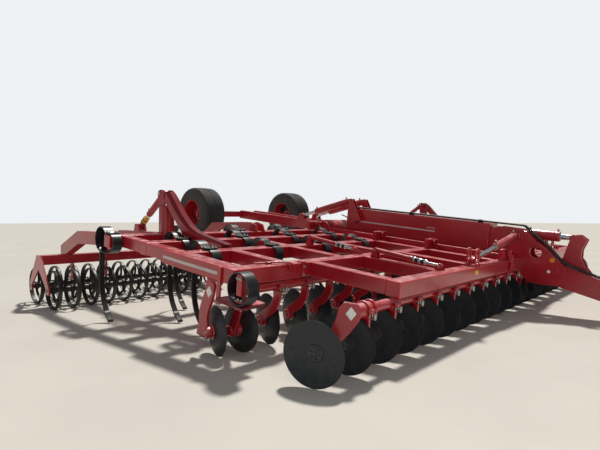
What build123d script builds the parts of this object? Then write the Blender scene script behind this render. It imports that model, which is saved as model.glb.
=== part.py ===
"""Trailed disc and tine cultivator, wings unfolded, parked on its discs, tines and ring packers.

Millimetres. +X forward, +Y left, +Z up. The origin is on the ground under the middle of the
whole machine. The frame is parked nose-down, so its beams are placed in the frame's own
coordinates (u forward, y left, w up from the middle of the beams) and tilted as one.
"""

from build123d import *
import math
import os

# Frame attitude and the ground
pitch = 6.0
frame_height = 865.0
weld_gap = 0.3
pin_clearance = 0.1
side_clearance = 6.0

# Lateral beams, as places along the frame
front_bar = 1900.0
middle_bar = 845.0
tine_bars = {"front": -50.0, "middle": -800.0, "rear": -1425.0}
bar_width = 150.0
bar_height = 150.0
rail_width = 120.0
rail_height = 140.0
inner_end = 560.0
front_bar_end = 3300.0
wing_bar_end = 4225.0
rear_bar_end = 4365.0
front_rails = [690.0, 1450.0, 2290.0, 3240.0]
rear_rails = [690.0, 1650.0, 2630.0, 3560.0, 4165.0]
outer_rail_width = 75.0
outer_rail_rear = -260.0

# Wing hinge
hinge_y = 500.0
hinge_w = 160.0
hinge_pin_r = 25.0
hinge_lug_r = 50.0
wing_lug_thick = 50.0
centre_lug_thick = 30.0
side_rail_in = 385.0
side_rail_out = 440.0
side_rail_top = 135.0
side_rail_rear = -1100.0

# Discs, two rows across the whole width
disc_r = 260.0
disc_sides = 28
disc_dish = 45.0
disc_thick = 10.0
disc_steer = 15.0
disc_pitch = 400.0
front_disc_x = 1750.0
rear_disc_x = 600.0
discs_per_side = 10
middle_tube_r = 55.0
front_tube_r = 46.0
front_tube_end = 4140.0
arm_thick = 30.0
arm_width = 95.0
arm_gap = 70.0
hub_r = 48.0

# Edge discs at the outer end of the rear row: one on a spring loop, one on a rigid arm
edge_disc_r = 235.0
sprung_x = 620.0
sprung_y = 3970.0
sprung_steer = -5.0
rigid_x = 560.0
rigid_y = 4205.0
rigid_hanger_u = 611.0
hanger_thick = 16.0
edge_loop_u = 1076.0
edge_loop_w = -53.0
edge_loop_y = 4310.0
edge_loop_r = 136.0
edge_loop_width = 120.0
edge_cross_u = 1030.0
post_u = 745.0
post_width = 50.0
post_thick = 20.0
post_low = -265.0

# Spring tines
shank_width = 65.0
shank_thick = 20.0
spring_width = 120.0
spring_thick = 12.0
loop_r = 150.0
loop_back = -200.0
loop_front = 150.0
tine_tip_u = 50.0
tine_tip_z = 20.0
clamp_thick = 16.0
tine_places = {
    "front": [3850.0, 2920.0, 1990.0, 1060.0],
    "middle": [3710.0, 2770.0, 1830.0, 890.0],
    "rear": [4295.0, 3240.0, 2300.0, 1360.0],
}
centre_tine_y = 272.0

# Packer
packer_r = 275.0
ring_sides = 12
ring_width = 60.0
ring_thick = 14.0
ring_count = 12
ring_margin = 60.0
journal_r = 30.0
axle_rear_x = -3580.0
axle_front_x = -2880.0
axle_r = 40.0
packer_in = 1590.0
packer_out = 4560.0
end_plate = 20.0
packer_pivot_x = -1590.0
packer_pivot_rise = 165.0
packer_pivot_z = frame_height + packer_pivot_rise
packer_arms = [1950.0, 3560.0, 4165.0]
packer_beam = 140.0
packer_beam_x = -3230.0
packer_beam_rise = 405.0
packer_beam_z = packer_r + packer_beam_rise
neck_rise = 200.0

# Packer cylinder and its mast
mast_y = 3560.0
mast_top_x = -1455.0
mast_rise = 755.0
mast_top_z = frame_height + mast_rise
packer_lug_x = -2130.0
packer_lug_rise = 135.0
packer_lug_z = packer_pivot_z + packer_lug_rise

# Main beam and the running gear
main_half = 160.0
main_top = 510.0
main_front = 1530.0
main_rear = -1020.0
gear_x = -1300.0
gear_rise = 245.0
gear_z = frame_height + gear_rise
gear_tube_r = 150.0
gear_journal_r = 60.0
gear_eye_r = 120.0
gear_arm_y = 205.0
gear_arm_width = 110.0
gear_arm_height = 170.0
wheel_x = -3900.0
wheel_rise = 270.0
wheel_z = gear_z + wheel_rise
wheel_y = 1290.0
tyre_r = 535.0
tyre_half = 250.0
rim_r = 286.0
spindle_r = 40.0
wheel_sides = 40
lift_base_x = -850.0
lift_base_rise = 735.0
lift_base_z = frame_height + lift_base_rise
lift_lug_x = -2035.0
lift_lug_rise = 230.0
lift_lug_z = gear_z + lift_lug_rise

# Tower and drawbar
tower_in = 100.0
tower_thick = 25.0
draw_half = 93.0
draw_pivot_x = 2410.0
draw_pivot_drop = 275.0
draw_pivot_z = frame_height - draw_pivot_drop
draw_pin_r = 35.0
fin_pin_x = 2630.0
fin_pin_rise = 440.0
fin_pin_z = draw_pivot_z + fin_pin_rise
draw_base_x = 1960.0
draw_base_rise = 215.0
draw_base_z = frame_height + draw_base_rise
eye_x = 4375.0
eye_z = 310.0
eye_r = 60.0
eye_bore_r = 25.0
eye_thick = 50.0
jack_x = 3800.0

# Hoses, in flat bundles clipped down all the way
hose_r = 13.0
hose_bend = 70.0
main_hoses_y = [-145.5, -119.0, -92.5]
draw_hoses_y = [-14.0, 14.0, 42.0]
clip_thick = 12.0

# All cylinders
cylinder_neck = 40.0
cylinder_cap = 10.0
eye_wall = 18.0
draw_eye_play = 4.0
lift_eye_play = 11.0
packer_eye_play = 2.0

# Fold cylinder
fold_base_y = 175.0
fold_base_w = 390.0
fold_lug_y = 1600.0
fold_lug_w = 140.0
fold_pin_r = 20.0
fold_slot_r = 36.0
fold_slot_shift = -13.0
fold_slot_rise = 90.0
fold_cheek_wall = 16.0

cos_p = math.cos(math.radians(pitch))
sin_p = math.sin(math.radians(pitch))
tilt = Location((0, 0, frame_height), (0, pitch, 0))


def to_world(u, w):
    """World X and Z of a point of the tilted frame."""
    return u * cos_p + w * sin_p, frame_height - u * sin_p + w * cos_p


def to_frame(x, z):
    """Frame u and w of a world point."""
    dz = z - frame_height
    return x * cos_p - dz * sin_p, x * sin_p + dz * cos_p


def block(x0, x1, y0, y1, z0, z1):
    size = (abs(x1 - x0), abs(y1 - y0), abs(z1 - z0))
    return Pos((x0 + x1) / 2, (y0 + y1) / 2, (z0 + z1) / 2) * Box(*size)


def plate(points, y0, y1):
    """A flat plate parallel to XZ, from y0 to y1, with the outline given as (x, z)."""
    low = min(y0, y1)
    wire = Polyline(*[(x, low, z) for x, z in points], close=True)
    return Solid.extrude(make_face(wire).face(), Vector(0, abs(y1 - y0), 0))


def rod_y(x, z, y0, y1, r):
    """A round bar along Y."""
    return Pos(x, (y0 + y1) / 2, z) * Rot(90, 0, 0) * Cylinder(r, abs(y1 - y0))


def prism(r, sides_round, length):
    """A bar with flat sides, centred along Z, whose flats lie at radius r."""
    face = RegularPolygon(r / math.cos(math.pi / sides_round), sides_round)
    return extrude(Rot(0, 0, 180 / sides_round) * face, amount=length / 2, both=True)


def prism_y(x, z, y0, y1, r, sides_round=12):
    """A flat-sided bar along Y."""
    return Pos(x, (y0 + y1) / 2, z) * Rot(90, 0, 0) * prism(r, sides_round, abs(y1 - y0))


def faceted(profile, count):
    """The closed profile of (radius, height) carried round Z in flat facets."""
    faces = []
    turns = [2 * math.pi * i / count for i in range(count + 1)]
    edges = zip(profile, profile[1:] + profile[:1])
    for (ra, za), (rb, zb) in [edge for edge in edges if edge[0][0] or edge[1][0]]:
        for a, b in zip(turns, turns[1:]):
            ends = [(ra, za, a), (rb, zb, a), (rb, zb, b), (ra, za, b)]
            corners = [(r * math.cos(t), r * math.sin(t), z) for r, z, t in ends]
            if ra == 0:
                corners = corners[:3]
            elif rb == 0:
                corners = corners[:2] + corners[3:]
            faces.append(Face(Wire.make_polygon([Vector(*c) for c in corners], close=True)))
    return Solid(Shell(faces))


def strip(points, thick, y, width):
    """A flat bar of the given thickness bent along the points (x, z), width wide in Y."""
    left, right = [], []
    for i, (x, z) in enumerate(points):
        ax, az = points[max(i - 1, 0)]
        bx, bz = points[min(i + 1, len(points) - 1)]
        length = math.hypot(bx - ax, bz - az)
        nx, nz = -(bz - az) / length * thick / 2, (bx - ax) / length * thick / 2
        left.append((x + nx, z + nz))
        right.append((x - nx, z - nz))
    return plate(left + right[::-1], y - width / 2, y + width / 2)


def sides(s, y0, y1):
    """The two Y limits of a piece on side s (+1 left, -1 right), in rising order."""
    return (y0, y1) if s > 0 else (-y1, -y0)


def save(name, pieces):
    label = Compound(children=list(pieces)) if len(pieces) > 1 else pieces[0]
    export_step(label, f"parts/{name}.step")


blade = faceted([(0, disc_dish - disc_thick), (disc_r, 0), (0, disc_dish)], disc_sides)
edge_blade = faceted([(0, disc_dish - disc_thick), (edge_disc_r, 0), (0, disc_dish)], disc_sides)


def lateral(u, y0, y1, s=1):
    low, high = sides(s, y0, y1)
    half = bar_width / 2
    return tilt * block(u - half, u + half, low, high, -bar_height / 2, bar_height / 2)


def rail(y, u0, u1, s):
    """A longitudinal rail between two lateral beams, its top flush with theirs."""
    low, high = sides(s, y - rail_width / 2, y + rail_width / 2)
    half = bar_width / 2 + weld_gap
    top = bar_height / 2
    return tilt * block(u0 + half, u1 - half, low, high, top - rail_height, top)


hinge_bars = [front_bar, middle_bar, tine_bars["front"], tine_bars["rear"] - 25]


def wing_frame(s):
    bars = [
        lateral(front_bar, inner_end, front_bar_end, s),
        lateral(middle_bar, inner_end, wing_bar_end, s),
        lateral(tine_bars["front"], inner_end, wing_bar_end, s),
        lateral(tine_bars["middle"], inner_end, wing_bar_end, s),
        lateral(tine_bars["rear"], inner_end, rear_bar_end, s),
    ]
    rails = [rail(y, middle_bar, front_bar, s) for y in front_rails]
    stations = [tine_bars["rear"], tine_bars["middle"], tine_bars["front"], middle_bar]
    for u0, u1 in zip(stations, stations[1:]):
        rails += [rail(y, u0, u1, s) for y in rear_rails]
    lugs = [wing_lug(u, s) for u in hinge_bars]
    tubes = []
    for u, r, inner, outer in (
        (front_bar, front_tube_r, hinge_y, front_tube_end),
        (middle_bar, middle_tube_r, inner_end, wing_bar_end),
    ):
        low, high = sides(s, inner, outer)
        tubes.append(tilt * prism_y(u, tube_w(r), low, high, r, 16))
    return bars + rails + lugs + tubes + wing_edge(s) + fold_lugs(s)


def tube_w(r):
    """Height of a disc tube's middle, where it touches the beam from below."""
    return -bar_height / 2 - weld_gap - r


def wing_edge(s):
    """Outer rail with its post, the hanger of the rigid edge disc and the loop's bracket."""
    top = bar_height / 2
    low_w = top - rail_height
    out = wing_bar_end + outer_rail_width
    front = middle_bar + bar_width / 2
    low, high = sides(s, wing_bar_end + weld_gap, out)
    outer_rail = tilt * block(outer_rail_rear, front, low, high, low_w, top)
    low, high = sides(s, out + weld_gap, out + weld_gap + post_thick)
    half = post_width / 2
    post = tilt * block(post_u - half, post_u + half, low, high, post_low, top)
    low, high = sides(s, wing_bar_end - rail_width, out)
    under = low_w - weld_gap
    hanger = block(rigid_hanger_u - 70, rigid_hanger_u + 70, low, high, under - hanger_thick, under)
    # Bracket that reaches forward beside the loop and holds the loop's crown from inside
    inner_r = edge_loop_r - spring_thick / 2
    crown_half = 32.0
    crown = edge_loop_w + math.sqrt(inner_r ** 2 - crown_half ** 2) - weld_gap
    near = edge_loop_y - edge_loop_width / 2 - 25
    low, high = sides(s, near - 50, near + 15)
    reach = block(front + weld_gap, edge_loop_u + crown_half, low, high, edge_loop_w - 60, edge_loop_w + 50)
    low, high = sides(s, near, edge_loop_y + edge_loop_width / 2 - 10)
    inside = block(edge_loop_u - crown_half, edge_loop_u + crown_half, low, high, edge_loop_w - 60, crown)
    bracket = tilt * (reach + inside).solid()
    return [outer_rail, post, tilt * hanger, bracket]


def wing_lug(u, s):
    """Hinge eye that stands on the inner end of a lateral beam."""
    low = bar_height / 2 + weld_gap
    half = wing_lug_thick / 2
    arm = block(u - half, u + half, hinge_y, inner_end + 140, low, hinge_w + hinge_lug_r)
    eye = Pos(u, hinge_y, hinge_w) * Rot(0, 90, 0) * prism(hinge_lug_r, 8, wing_lug_thick)
    floor = block(u - half, u + half, hinge_y - 60, inner_end - 1, low - 80, low)
    bore = Pos(u, hinge_y, hinge_w) * Rot(0, 90, 0)
    bore = bore * Cylinder(hinge_pin_r + pin_clearance, wing_lug_thick + 2)
    lug = (arm + eye) - floor - bore
    lug = tilt * lug.solid()
    return lug if s > 0 else mirror(lug, about=Plane.XZ)


def hinge_lugs():
    """Two cheeks and a pin at each wing hinge, standing off the side rails."""
    pieces = []
    for u in hinge_bars:
        inner = wing_lug_thick / 2 + side_clearance
        outer = inner + centre_lug_thick
        pin = Pos(u, hinge_y, hinge_w) * Rot(0, 90, 0) * Cylinder(hinge_pin_r, 2 * inner + 2)
        cheeks = pin
        for a, b in ((-outer, -inner), (inner, outer)):
            arm = block(u + a, u + b, side_rail_out + weld_gap, hinge_y, 50, hinge_w + hinge_lug_r)
            eye = Pos(u + (a + b) / 2, hinge_y, hinge_w) * Rot(0, 90, 0)
            cheeks = cheeks + arm + eye * prism(hinge_lug_r, 8, b - a)
        cheeks = tilt * cheeks.solid()
        pieces += [cheeks, mirror(cheeks, about=Plane.XZ)]
    return pieces


def centre_frame():
    half = bar_width / 2
    bars = [
        lateral(u, -side_rail_in + weld_gap, side_rail_in - weld_gap)
        for u in (front_bar, middle_bar, tine_bars["front"], tine_bars["middle"])
    ]
    top = -bar_height / 2 - weld_gap
    bars.append(tilt * block(-1320, -1180, -side_rail_out, side_rail_out, top - 100, top))
    rails = []
    for s in (1, -1):
        low, high = sides(s, side_rail_in, side_rail_out)
        u1 = front_bar + half
        rails.append(tilt * block(side_rail_rear, u1, low, high, -half, side_rail_top))
    tubes = []
    for u, r, reach in ((middle_bar, middle_tube_r, hinge_y), (front_bar, front_tube_r, side_rail_out)):
        tubes.append(tilt * prism_y(u, tube_w(r), -reach, reach, r, 16))
    return bars + rails + tubes + hinge_lugs() + gear_bearings()


def gear_bearings():
    """Rear ends of the side rails, with the bores that carry the running gear's journals."""
    u, w = to_frame(gear_x, gear_z)
    rear = tine_bars["rear"] - bar_width / 2
    pieces = []
    for s in (1, -1):
        low, high = sides(s, side_rail_in, side_rail_out)
        post = block(rear, side_rail_rear - weld_gap, low, high, -bar_height / 2, side_rail_top)
        eye = Pos(u, (low + high) / 2, w) * Rot(90, 0, 0) * prism(gear_eye_r, 12, high - low)
        bore = Pos(u, (low + high) / 2, w) * Rot(90, 0, 0)
        bore = bore * Cylinder(gear_journal_r + pin_clearance, high - low + 2)
        pieces.append(tilt * (post + eye - bore).solid())
    return pieces


def main_beam():
    low = bar_height / 2 + weld_gap
    body = block(main_rear, main_front, -main_half, main_half, low, main_top)
    body = chamfer(body.edges().filter_by(Axis.X).sort_by(Axis.Z)[-2:], 12)
    return [tilt * body.solid()]


def disc(x, y, side):
    """A dished disc with a sharp rim; its hollow face looks forward and to the given side."""
    turn = Rot(90, 0, 0) if side > 0 else Rot(-90, 0, 0)
    return Location((x, y, disc_r), (0, 0, -side * disc_steer)) * turn * blade


def hub(x, y, r, side, steer):
    """Hub from the dished disc's crown out to the middle of its arm."""
    turn = Location((x, y, r), (0, 0, -side * steer)) * Rot(side * 90, 0, 0)
    seat = disc_dish + weld_gap
    face = Pos(0, 0, seat) * RegularPolygon(hub_r, 8)
    return turn * extrude(face, amount=arm_gap + arm_thick / 2 - seat)


def edge_discs(s):
    """The two smaller discs at the wing's outer end."""
    turn = Rot(-90 * s, 0, 0)
    sprung = Location((sprung_x, s * sprung_y, edge_disc_r), (0, 0, s * sprung_steer))
    rigid = Location((rigid_x, s * rigid_y, edge_disc_r), (0, 0, s * disc_steer))
    return [sprung * turn * edge_blade, rigid * turn * edge_blade]


def edge_arms(s):
    """Arm and clamp under the spring loop, and the rigid arm under its hanger."""
    hub_u, hub_w = to_frame(sprung_x, edge_disc_r)
    middle = s * (sprung_y + arm_gap + arm_thick / 2)
    top = edge_loop_w - edge_loop_r - spring_thick / 2 - weld_gap
    points = [
        (edge_cross_u, top - 5), (edge_cross_u - 40, top - 60), (hub_u + 150, (top + hub_w) / 2 - 20),
        (hub_u + 20, hub_w + 30), (hub_u - 15, hub_w - 30),
    ]
    sprung = tilt * strip(points, arm_width, middle, arm_thick)
    low, high = sides(s, abs(middle) - arm_thick / 2, edge_loop_y + edge_loop_width / 2)
    sprung = sprung + tilt * block(edge_loop_u - 90, edge_loop_u + 25, low, high, top - 35, top)
    sprung = sprung + hub(sprung_x, s * sprung_y, edge_disc_r, -s, sprung_steer)
    hub_u, hub_w = to_frame(rigid_x, edge_disc_r)
    middle = s * (rigid_y + arm_gap + arm_thick / 2)
    top = bar_height / 2 - rail_height - 2 * weld_gap - hanger_thick
    points = [
        (rigid_hanger_u, top), (rigid_hanger_u, top - 130), (rigid_hanger_u - 18, (top + hub_w) / 2 - 60),
        (hub_u - 5, hub_w + 40), (hub_u - 12, hub_w - 45),
    ]
    rigid = tilt * strip(points, arm_width, middle, arm_thick)
    rigid = rigid + hub(rigid_x, s * rigid_y, edge_disc_r, -s, disc_steer)
    return [sprung.solid(), rigid.solid()]


def edge_loop(s):
    """Flat spring loop that carries the sprung edge disc."""
    ring = faceted(
        [
            (edge_loop_r + spring_thick / 2, -edge_loop_width / 2),
            (edge_loop_r + spring_thick / 2, edge_loop_width / 2),
            (edge_loop_r - spring_thick / 2, edge_loop_width / 2),
            (edge_loop_r - spring_thick / 2, -edge_loop_width / 2),
        ],
        24,
    )
    return tilt * (Pos(edge_loop_u, s * edge_loop_y, edge_loop_w) * Rot(90, 0, 0) * ring)


def arm(x, y, bar_u, bar_r, side):
    """Arm on the disc's bulging side, from its seat under the disc tube down to the hub."""
    hub_u, hub_w = to_frame(x, disc_r)
    bar_w = tube_w(bar_r)
    middle = y - side * (arm_gap + arm_thick / 2)
    points = [
        (bar_u + 15, bar_w - bar_r - weld_gap),
        (bar_u + 15, bar_w - bar_r - 90),
        ((bar_u + hub_u) / 2 + 45, (bar_w + hub_w) / 2 - 60),
        (hub_u + 15, hub_w + 45),
        (hub_u - 15, hub_w - 35),
    ]
    bar = tilt * strip(points, arm_width, middle, arm_thick)
    return (bar + hub(x, y, disc_r, side, disc_steer)).solid()


def disc_rows(ks_front, ks_rear, s):
    """Discs and arms of both rows for the numbered places of one side."""
    discs, arms = [], []
    for k in ks_front:
        y = s * (disc_pitch / 2 + disc_pitch * k)
        discs.append(disc(front_disc_x, y, s))
        arms.append(arm(front_disc_x, y, front_bar, front_tube_r, s))
    for k in ks_rear:
        y = s * disc_pitch * k
        discs.append(disc(rear_disc_x, y, -s))
        arms.append(arm(rear_disc_x, y, middle_bar, middle_tube_r, -s))
    return discs, arms


def tine(u_bar, y):
    """Spring tine: a wide flat spring looped round the beam, clamped on its top, and its shank."""
    lift = bar_height / 2 + weld_gap + spring_thick / 2
    under = -loop_r
    points = [(-10, lift), (85, lift), (130, 45), (loop_front, -5), (135, -70), (75, -125), (0, under)]
    points += [(loop_back / 2, under)]
    for deg in range(-90, -271, -30):
        a = math.radians(deg)
        points.append((loop_back + loop_r * math.cos(a), loop_r * math.sin(a)))
    points += [(-135, 135), (-85, 98), (-55, lift), (-25, lift)]
    spring = strip([(u_bar + u, w) for u, w in points], spring_thick, y, spring_width)
    top = lift + spring_thick / 2
    low, high = y - spring_width / 2 - 12, y + spring_width / 2 + 12
    clamp = block(u_bar - 50, u_bar + 45, low, high, top - 1, top + clamp_thick)
    tip_u = u_bar + tine_tip_u
    x_tip, _ = to_world(tip_u, -900)
    _, deep = to_frame(x_tip, tine_tip_z)
    shank = [(u_bar + loop_back - 75, -130), (u_bar + loop_back - 65, -185)]
    for share, back in ((0.42, -262), (0.6, -235), (0.78, -165), (0.92, -50)):
        shank.append((u_bar + back, deep * share))
    shank.append((tip_u, deep))
    shank = strip(shank, shank_thick, y, shank_width)
    return tilt * (spring + clamp + shank).solid()


def wing_tines(s):
    places = []
    for name, ys in tine_places.items():
        places += [tine(tine_bars[name], s * y) for y in ys]
    return places


def packer_frame(s):
    low, high = sides(s, packer_in, packer_out)
    half = packer_beam / 2
    pieces = [
        block(
            packer_beam_x - half,
            packer_beam_x + half,
            low + end_plate + weld_gap,
            high - end_plate - weld_gap,
            packer_beam_z - half,
            packer_beam_z + half,
        )
    ]
    z = packer_r
    outline = [
        (packer_beam_x - 80, packer_beam_z + half),
        (packer_beam_x + 80, packer_beam_z + half),
        (axle_front_x + 60, z + 30),
        (axle_front_x + 60, z - 60),
        (axle_front_x - 60, z - 60),
        (axle_front_x - 60, z + 30),
        (packer_beam_x, packer_beam_z - half - 60),
        (axle_rear_x + 60, z + 30),
        (axle_rear_x + 60, z - 60),
        (axle_rear_x - 60, z - 60),
        (axle_rear_x - 60, z + 30),
    ]
    for a, b in ((low, low + end_plate), (high - end_plate, high)):
        side = plate(outline, a, b)
        for x in (axle_front_x, axle_rear_x):
            side = side - rod_y(x, z, a - 1, b + 1, 30 + pin_clearance)
        pieces.append(side.solid())
    top = packer_beam_z + half + weld_gap
    for y in packer_arms:
        a, b = sides(s, y - 60, y + 60)
        profile = [
            (packer_pivot_x - 30, packer_pivot_z - 90),
            (packer_pivot_x - 30, packer_pivot_z + 70),
            (packer_pivot_x - 1090, packer_pivot_z + 80),
            (packer_beam_x - 90, top + 130),
            (packer_beam_x - 90, top),
            (packer_beam_x + 90, top),
            (packer_pivot_x - 1050, packer_pivot_z - 100),
        ]
        if y == packer_arms[0]:
            profile[2:3] = [
                (packer_pivot_x - 110, packer_pivot_z + neck_rise),
                (packer_pivot_x - 950, packer_pivot_z + neck_rise - 15),
                (packer_pivot_x - 1200, packer_pivot_z + 15),
            ]
            profile[-1:] = [
                (packer_pivot_x - 1080, packer_pivot_z - 110),
                (packer_pivot_x - 900, packer_pivot_z + 60),
                (packer_pivot_x - 230, packer_pivot_z + 60),
            ]
        bar = plate(profile, a, b)
        eye = prism_y(packer_pivot_x, packer_pivot_z, a, b, 60, 8)
        bar = bar + eye - rod_y(packer_pivot_x, packer_pivot_z, a - 1, b + 1, 30 + pin_clearance)
        if y == mast_y:
            lug = plate(
                [
                    (packer_lug_x - 90, packer_lug_z - 105),
                    (packer_lug_x - 45, packer_lug_z + 45),
                    (packer_lug_x + 45, packer_lug_z + 45),
                    (packer_lug_x + 90, packer_lug_z - 105),
                ],
                a,
                b,
            )
            m0, m1 = sides(s, y - 32, y + 32)
            deep = packer_lug_z - 62
            slot = block(packer_lug_x - 120, packer_lug_x + 200, m0, m1, deep, packer_lug_z + 135)
            bar = bar + lug - slot
            bar = bar + rod_y(packer_lug_x, packer_lug_z, a, b, 20)
        pieces.append(bar.solid())
    return pieces


def packer_brackets(s):
    """Cheeks behind the rear beam with the pins that carry the packer arms."""
    pieces = []
    back = to_world(tine_bars["rear"] - bar_width / 2, 0)[0] - 8
    for y in packer_arms:
        a, b = sides(s, y - 60, y + 60)
        gap = side_clearance
        group = rod_y(packer_pivot_x, packer_pivot_z, a - gap - 20, b + gap + 20, 30)
        for c, d in ((a - gap - 20, a - gap), (b + gap, b + gap + 20)):
            cheek = plate(
                [
                    (packer_pivot_x - 60, packer_pivot_z - 60),
                    (packer_pivot_x - 60, packer_pivot_z + 60),
                    (back, packer_pivot_z + 75),
                    (back, packer_pivot_z - 90),
                ],
                c,
                d,
            )
            group = group + cheek
            if y == packer_arms[0]:
                group = group + neck_plate(c, d)
        pieces.append(group.solid())
    return pieces


def neck_plate(y0, y1):
    """Plate that carries a high bracket over the rear beam's top, beside the raised arm."""
    half = bar_width / 2
    seat = bar_height / 2 + 2 * weld_gap
    rear, front = tine_bars["rear"] - half, tine_bars["rear"] + half
    edge = [to_world(rear - 10, seat - 60), to_world(rear - 10, seat), to_world(front + 20, seat)]
    crown = packer_pivot_z + neck_rise
    edge += [(to_world(front, 0)[0] - 20, crown - 40), (to_world(rear, 0)[0], crown)]
    edge += [(packer_pivot_x - 40, crown - 25), (packer_pivot_x - 55, packer_pivot_z)]
    return plate(edge, y0, y1)


def roller(x, s):
    """Ring roller: an axle tube, polygonal spring rings and their spokes, as one solid."""
    inside = end_plate + side_clearance
    low, high = sides(s, packer_in + inside, packer_out - inside)
    body = prism_y(x, packer_r, low, high, axle_r, 8)
    for y0, y1 in ((low - inside, low), (high, high + inside)):
        body = body + rod_y(x, packer_r, y0, y1, journal_r)
    step = (high - low - 2 * ring_margin) / (ring_count - 1)
    outer = packer_r / math.cos(math.pi / ring_sides)
    inner = outer - ring_thick
    half = ring_width / 2
    ring = faceted([(outer, -half), (outer, half), (inner, half), (inner, -half)], ring_sides)
    ring = Rot(90, 0, 0) * Rot(0, 0, 180 / ring_sides) * ring
    reach = packer_r - ring_thick / 2
    for i in range(ring_count):
        y = low + ring_margin + step * i
        spoke = block(-reach, reach, -15, 15, -8, 8)
        body = body + Pos(x, y, packer_r) * ring + Pos(x, y, packer_r) * spoke
    return body.solid()


def mast(s):
    """Tapered plates on the fourth rail that hold the packer cylinder's upper pin."""
    u, w = to_frame(mast_top_x, mast_top_z)
    base = bar_height / 2 + weld_gap
    pieces = []
    a, b = sides(s, mast_y - 75, mast_y + 75)
    outline = [
        (tine_bars["rear"] - 70, base),
        (u - 50, w - 20),
        (u - 35, w + 45),
        (u + 45, w + 45),
        (u + 75, w - 60),
        (u + 150, w - 300),
        (u + 320, base + 40),
        (u + 560, base),
    ]
    body = plate(outline, a, b)
    m0, m1 = sides(s, mast_y - 50, mast_y + 50)
    slot = block(u - 200, u + 110, m0, m1, w - 330, w + 200)
    body = body - slot + rod_y(u, w, a, b, 22)
    pieces.append(tilt * body.solid())
    return pieces


def cylinder(base, tip, axis, width, barrel_r, rod_r, pins, barrel_end, rod_start, play):
    """Barrel and rod between two pins that lie along axis.

    pins holds the radii of the pins at the barrel's end and at the rod's end. barrel_end and
    rod_start are places along the cylinder, measured from the barrel's pin. play is the wide
    clearance of the rod's eye on its pin.
    """
    base, tip, axis = Vector(*base), Vector(*tip), Vector(*axis)
    length = (tip - base).length
    way = (tip - base).normalized()
    base_pin, tip_pin = pins
    head = base_pin + cylinder_neck
    bore = head + cylinder_cap

    def along(start, end, r, count):
        place = Plane(origin=base + way * (start + end) / 2, z_dir=way).location
        return place * (prism(r, count, end - start) if count else Cylinder(r, end - start))

    def across(at, r, half, count):
        place = Plane(origin=at, z_dir=axis).location
        return place * (prism(r, count, 2 * half) if count else Cylinder(r, 2 * half))

    neck = min(barrel_r * 0.55, width / 2)
    barrel = along(head, barrel_end, barrel_r, 12) + along(base_pin + 5, head + 1, neck, 8)
    barrel = barrel + across(base, base_pin + eye_wall, width / 2, 8)
    barrel = barrel - across(base, base_pin + pin_clearance, width, 0)
    barrel = barrel - along(bore, barrel_end + 1, rod_r + pin_clearance, 0)
    rod = along(rod_start, length - tip_pin - play - 3, rod_r, 0)
    rod = rod + across(tip, tip_pin + play + eye_wall, width / 2, 8)
    rod = rod - across(tip, tip_pin + play, width, 0)
    return barrel.solid(), rod.solid()


def fold_points(s):
    bx, bz = to_world(front_bar, fold_base_w)
    tx, tz = to_world(front_bar, fold_lug_w)
    return (bx, s * fold_base_y, bz), (tx, s * fold_lug_y, tz)


def fold_lugs(s):
    """Cheeks on the front beam, slotted upward so that the fold cylinder's pin can float."""
    base = bar_height / 2 + weld_gap
    middle = fold_lug_y + fold_slot_shift
    reach = fold_slot_r + fold_cheek_wall
    slot = Pos(front_bar, middle, fold_lug_w) * Rot(0, 90, 0) * Cylinder(fold_slot_r, 140)
    slot = slot + Pos(0, 0, fold_slot_rise) * slot
    slot = slot + block(
        front_bar - 70, front_bar + 70, middle - fold_slot_r, middle + fold_slot_r,
        fold_lug_w, fold_lug_w + fold_slot_rise,
    )
    pieces = []
    for a, b in ((-60, -36), (36, 60)):
        top = fold_lug_w + fold_slot_rise + reach
        cheek = block(front_bar + a, front_bar + b, middle - reach, middle + reach, base, top)
        cheek = chamfer(cheek.edges().filter_by(Axis.X).sort_by(Axis.Z)[-2:], reach / 2)
        foot = block(front_bar + a, front_bar + b, middle - 90, middle + 90, base, base + 30)
        cheek = tilt * (cheek + foot - slot).solid()
        pieces.append(cheek if s > 0 else mirror(cheek, about=Plane.XZ))
    return pieces


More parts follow.
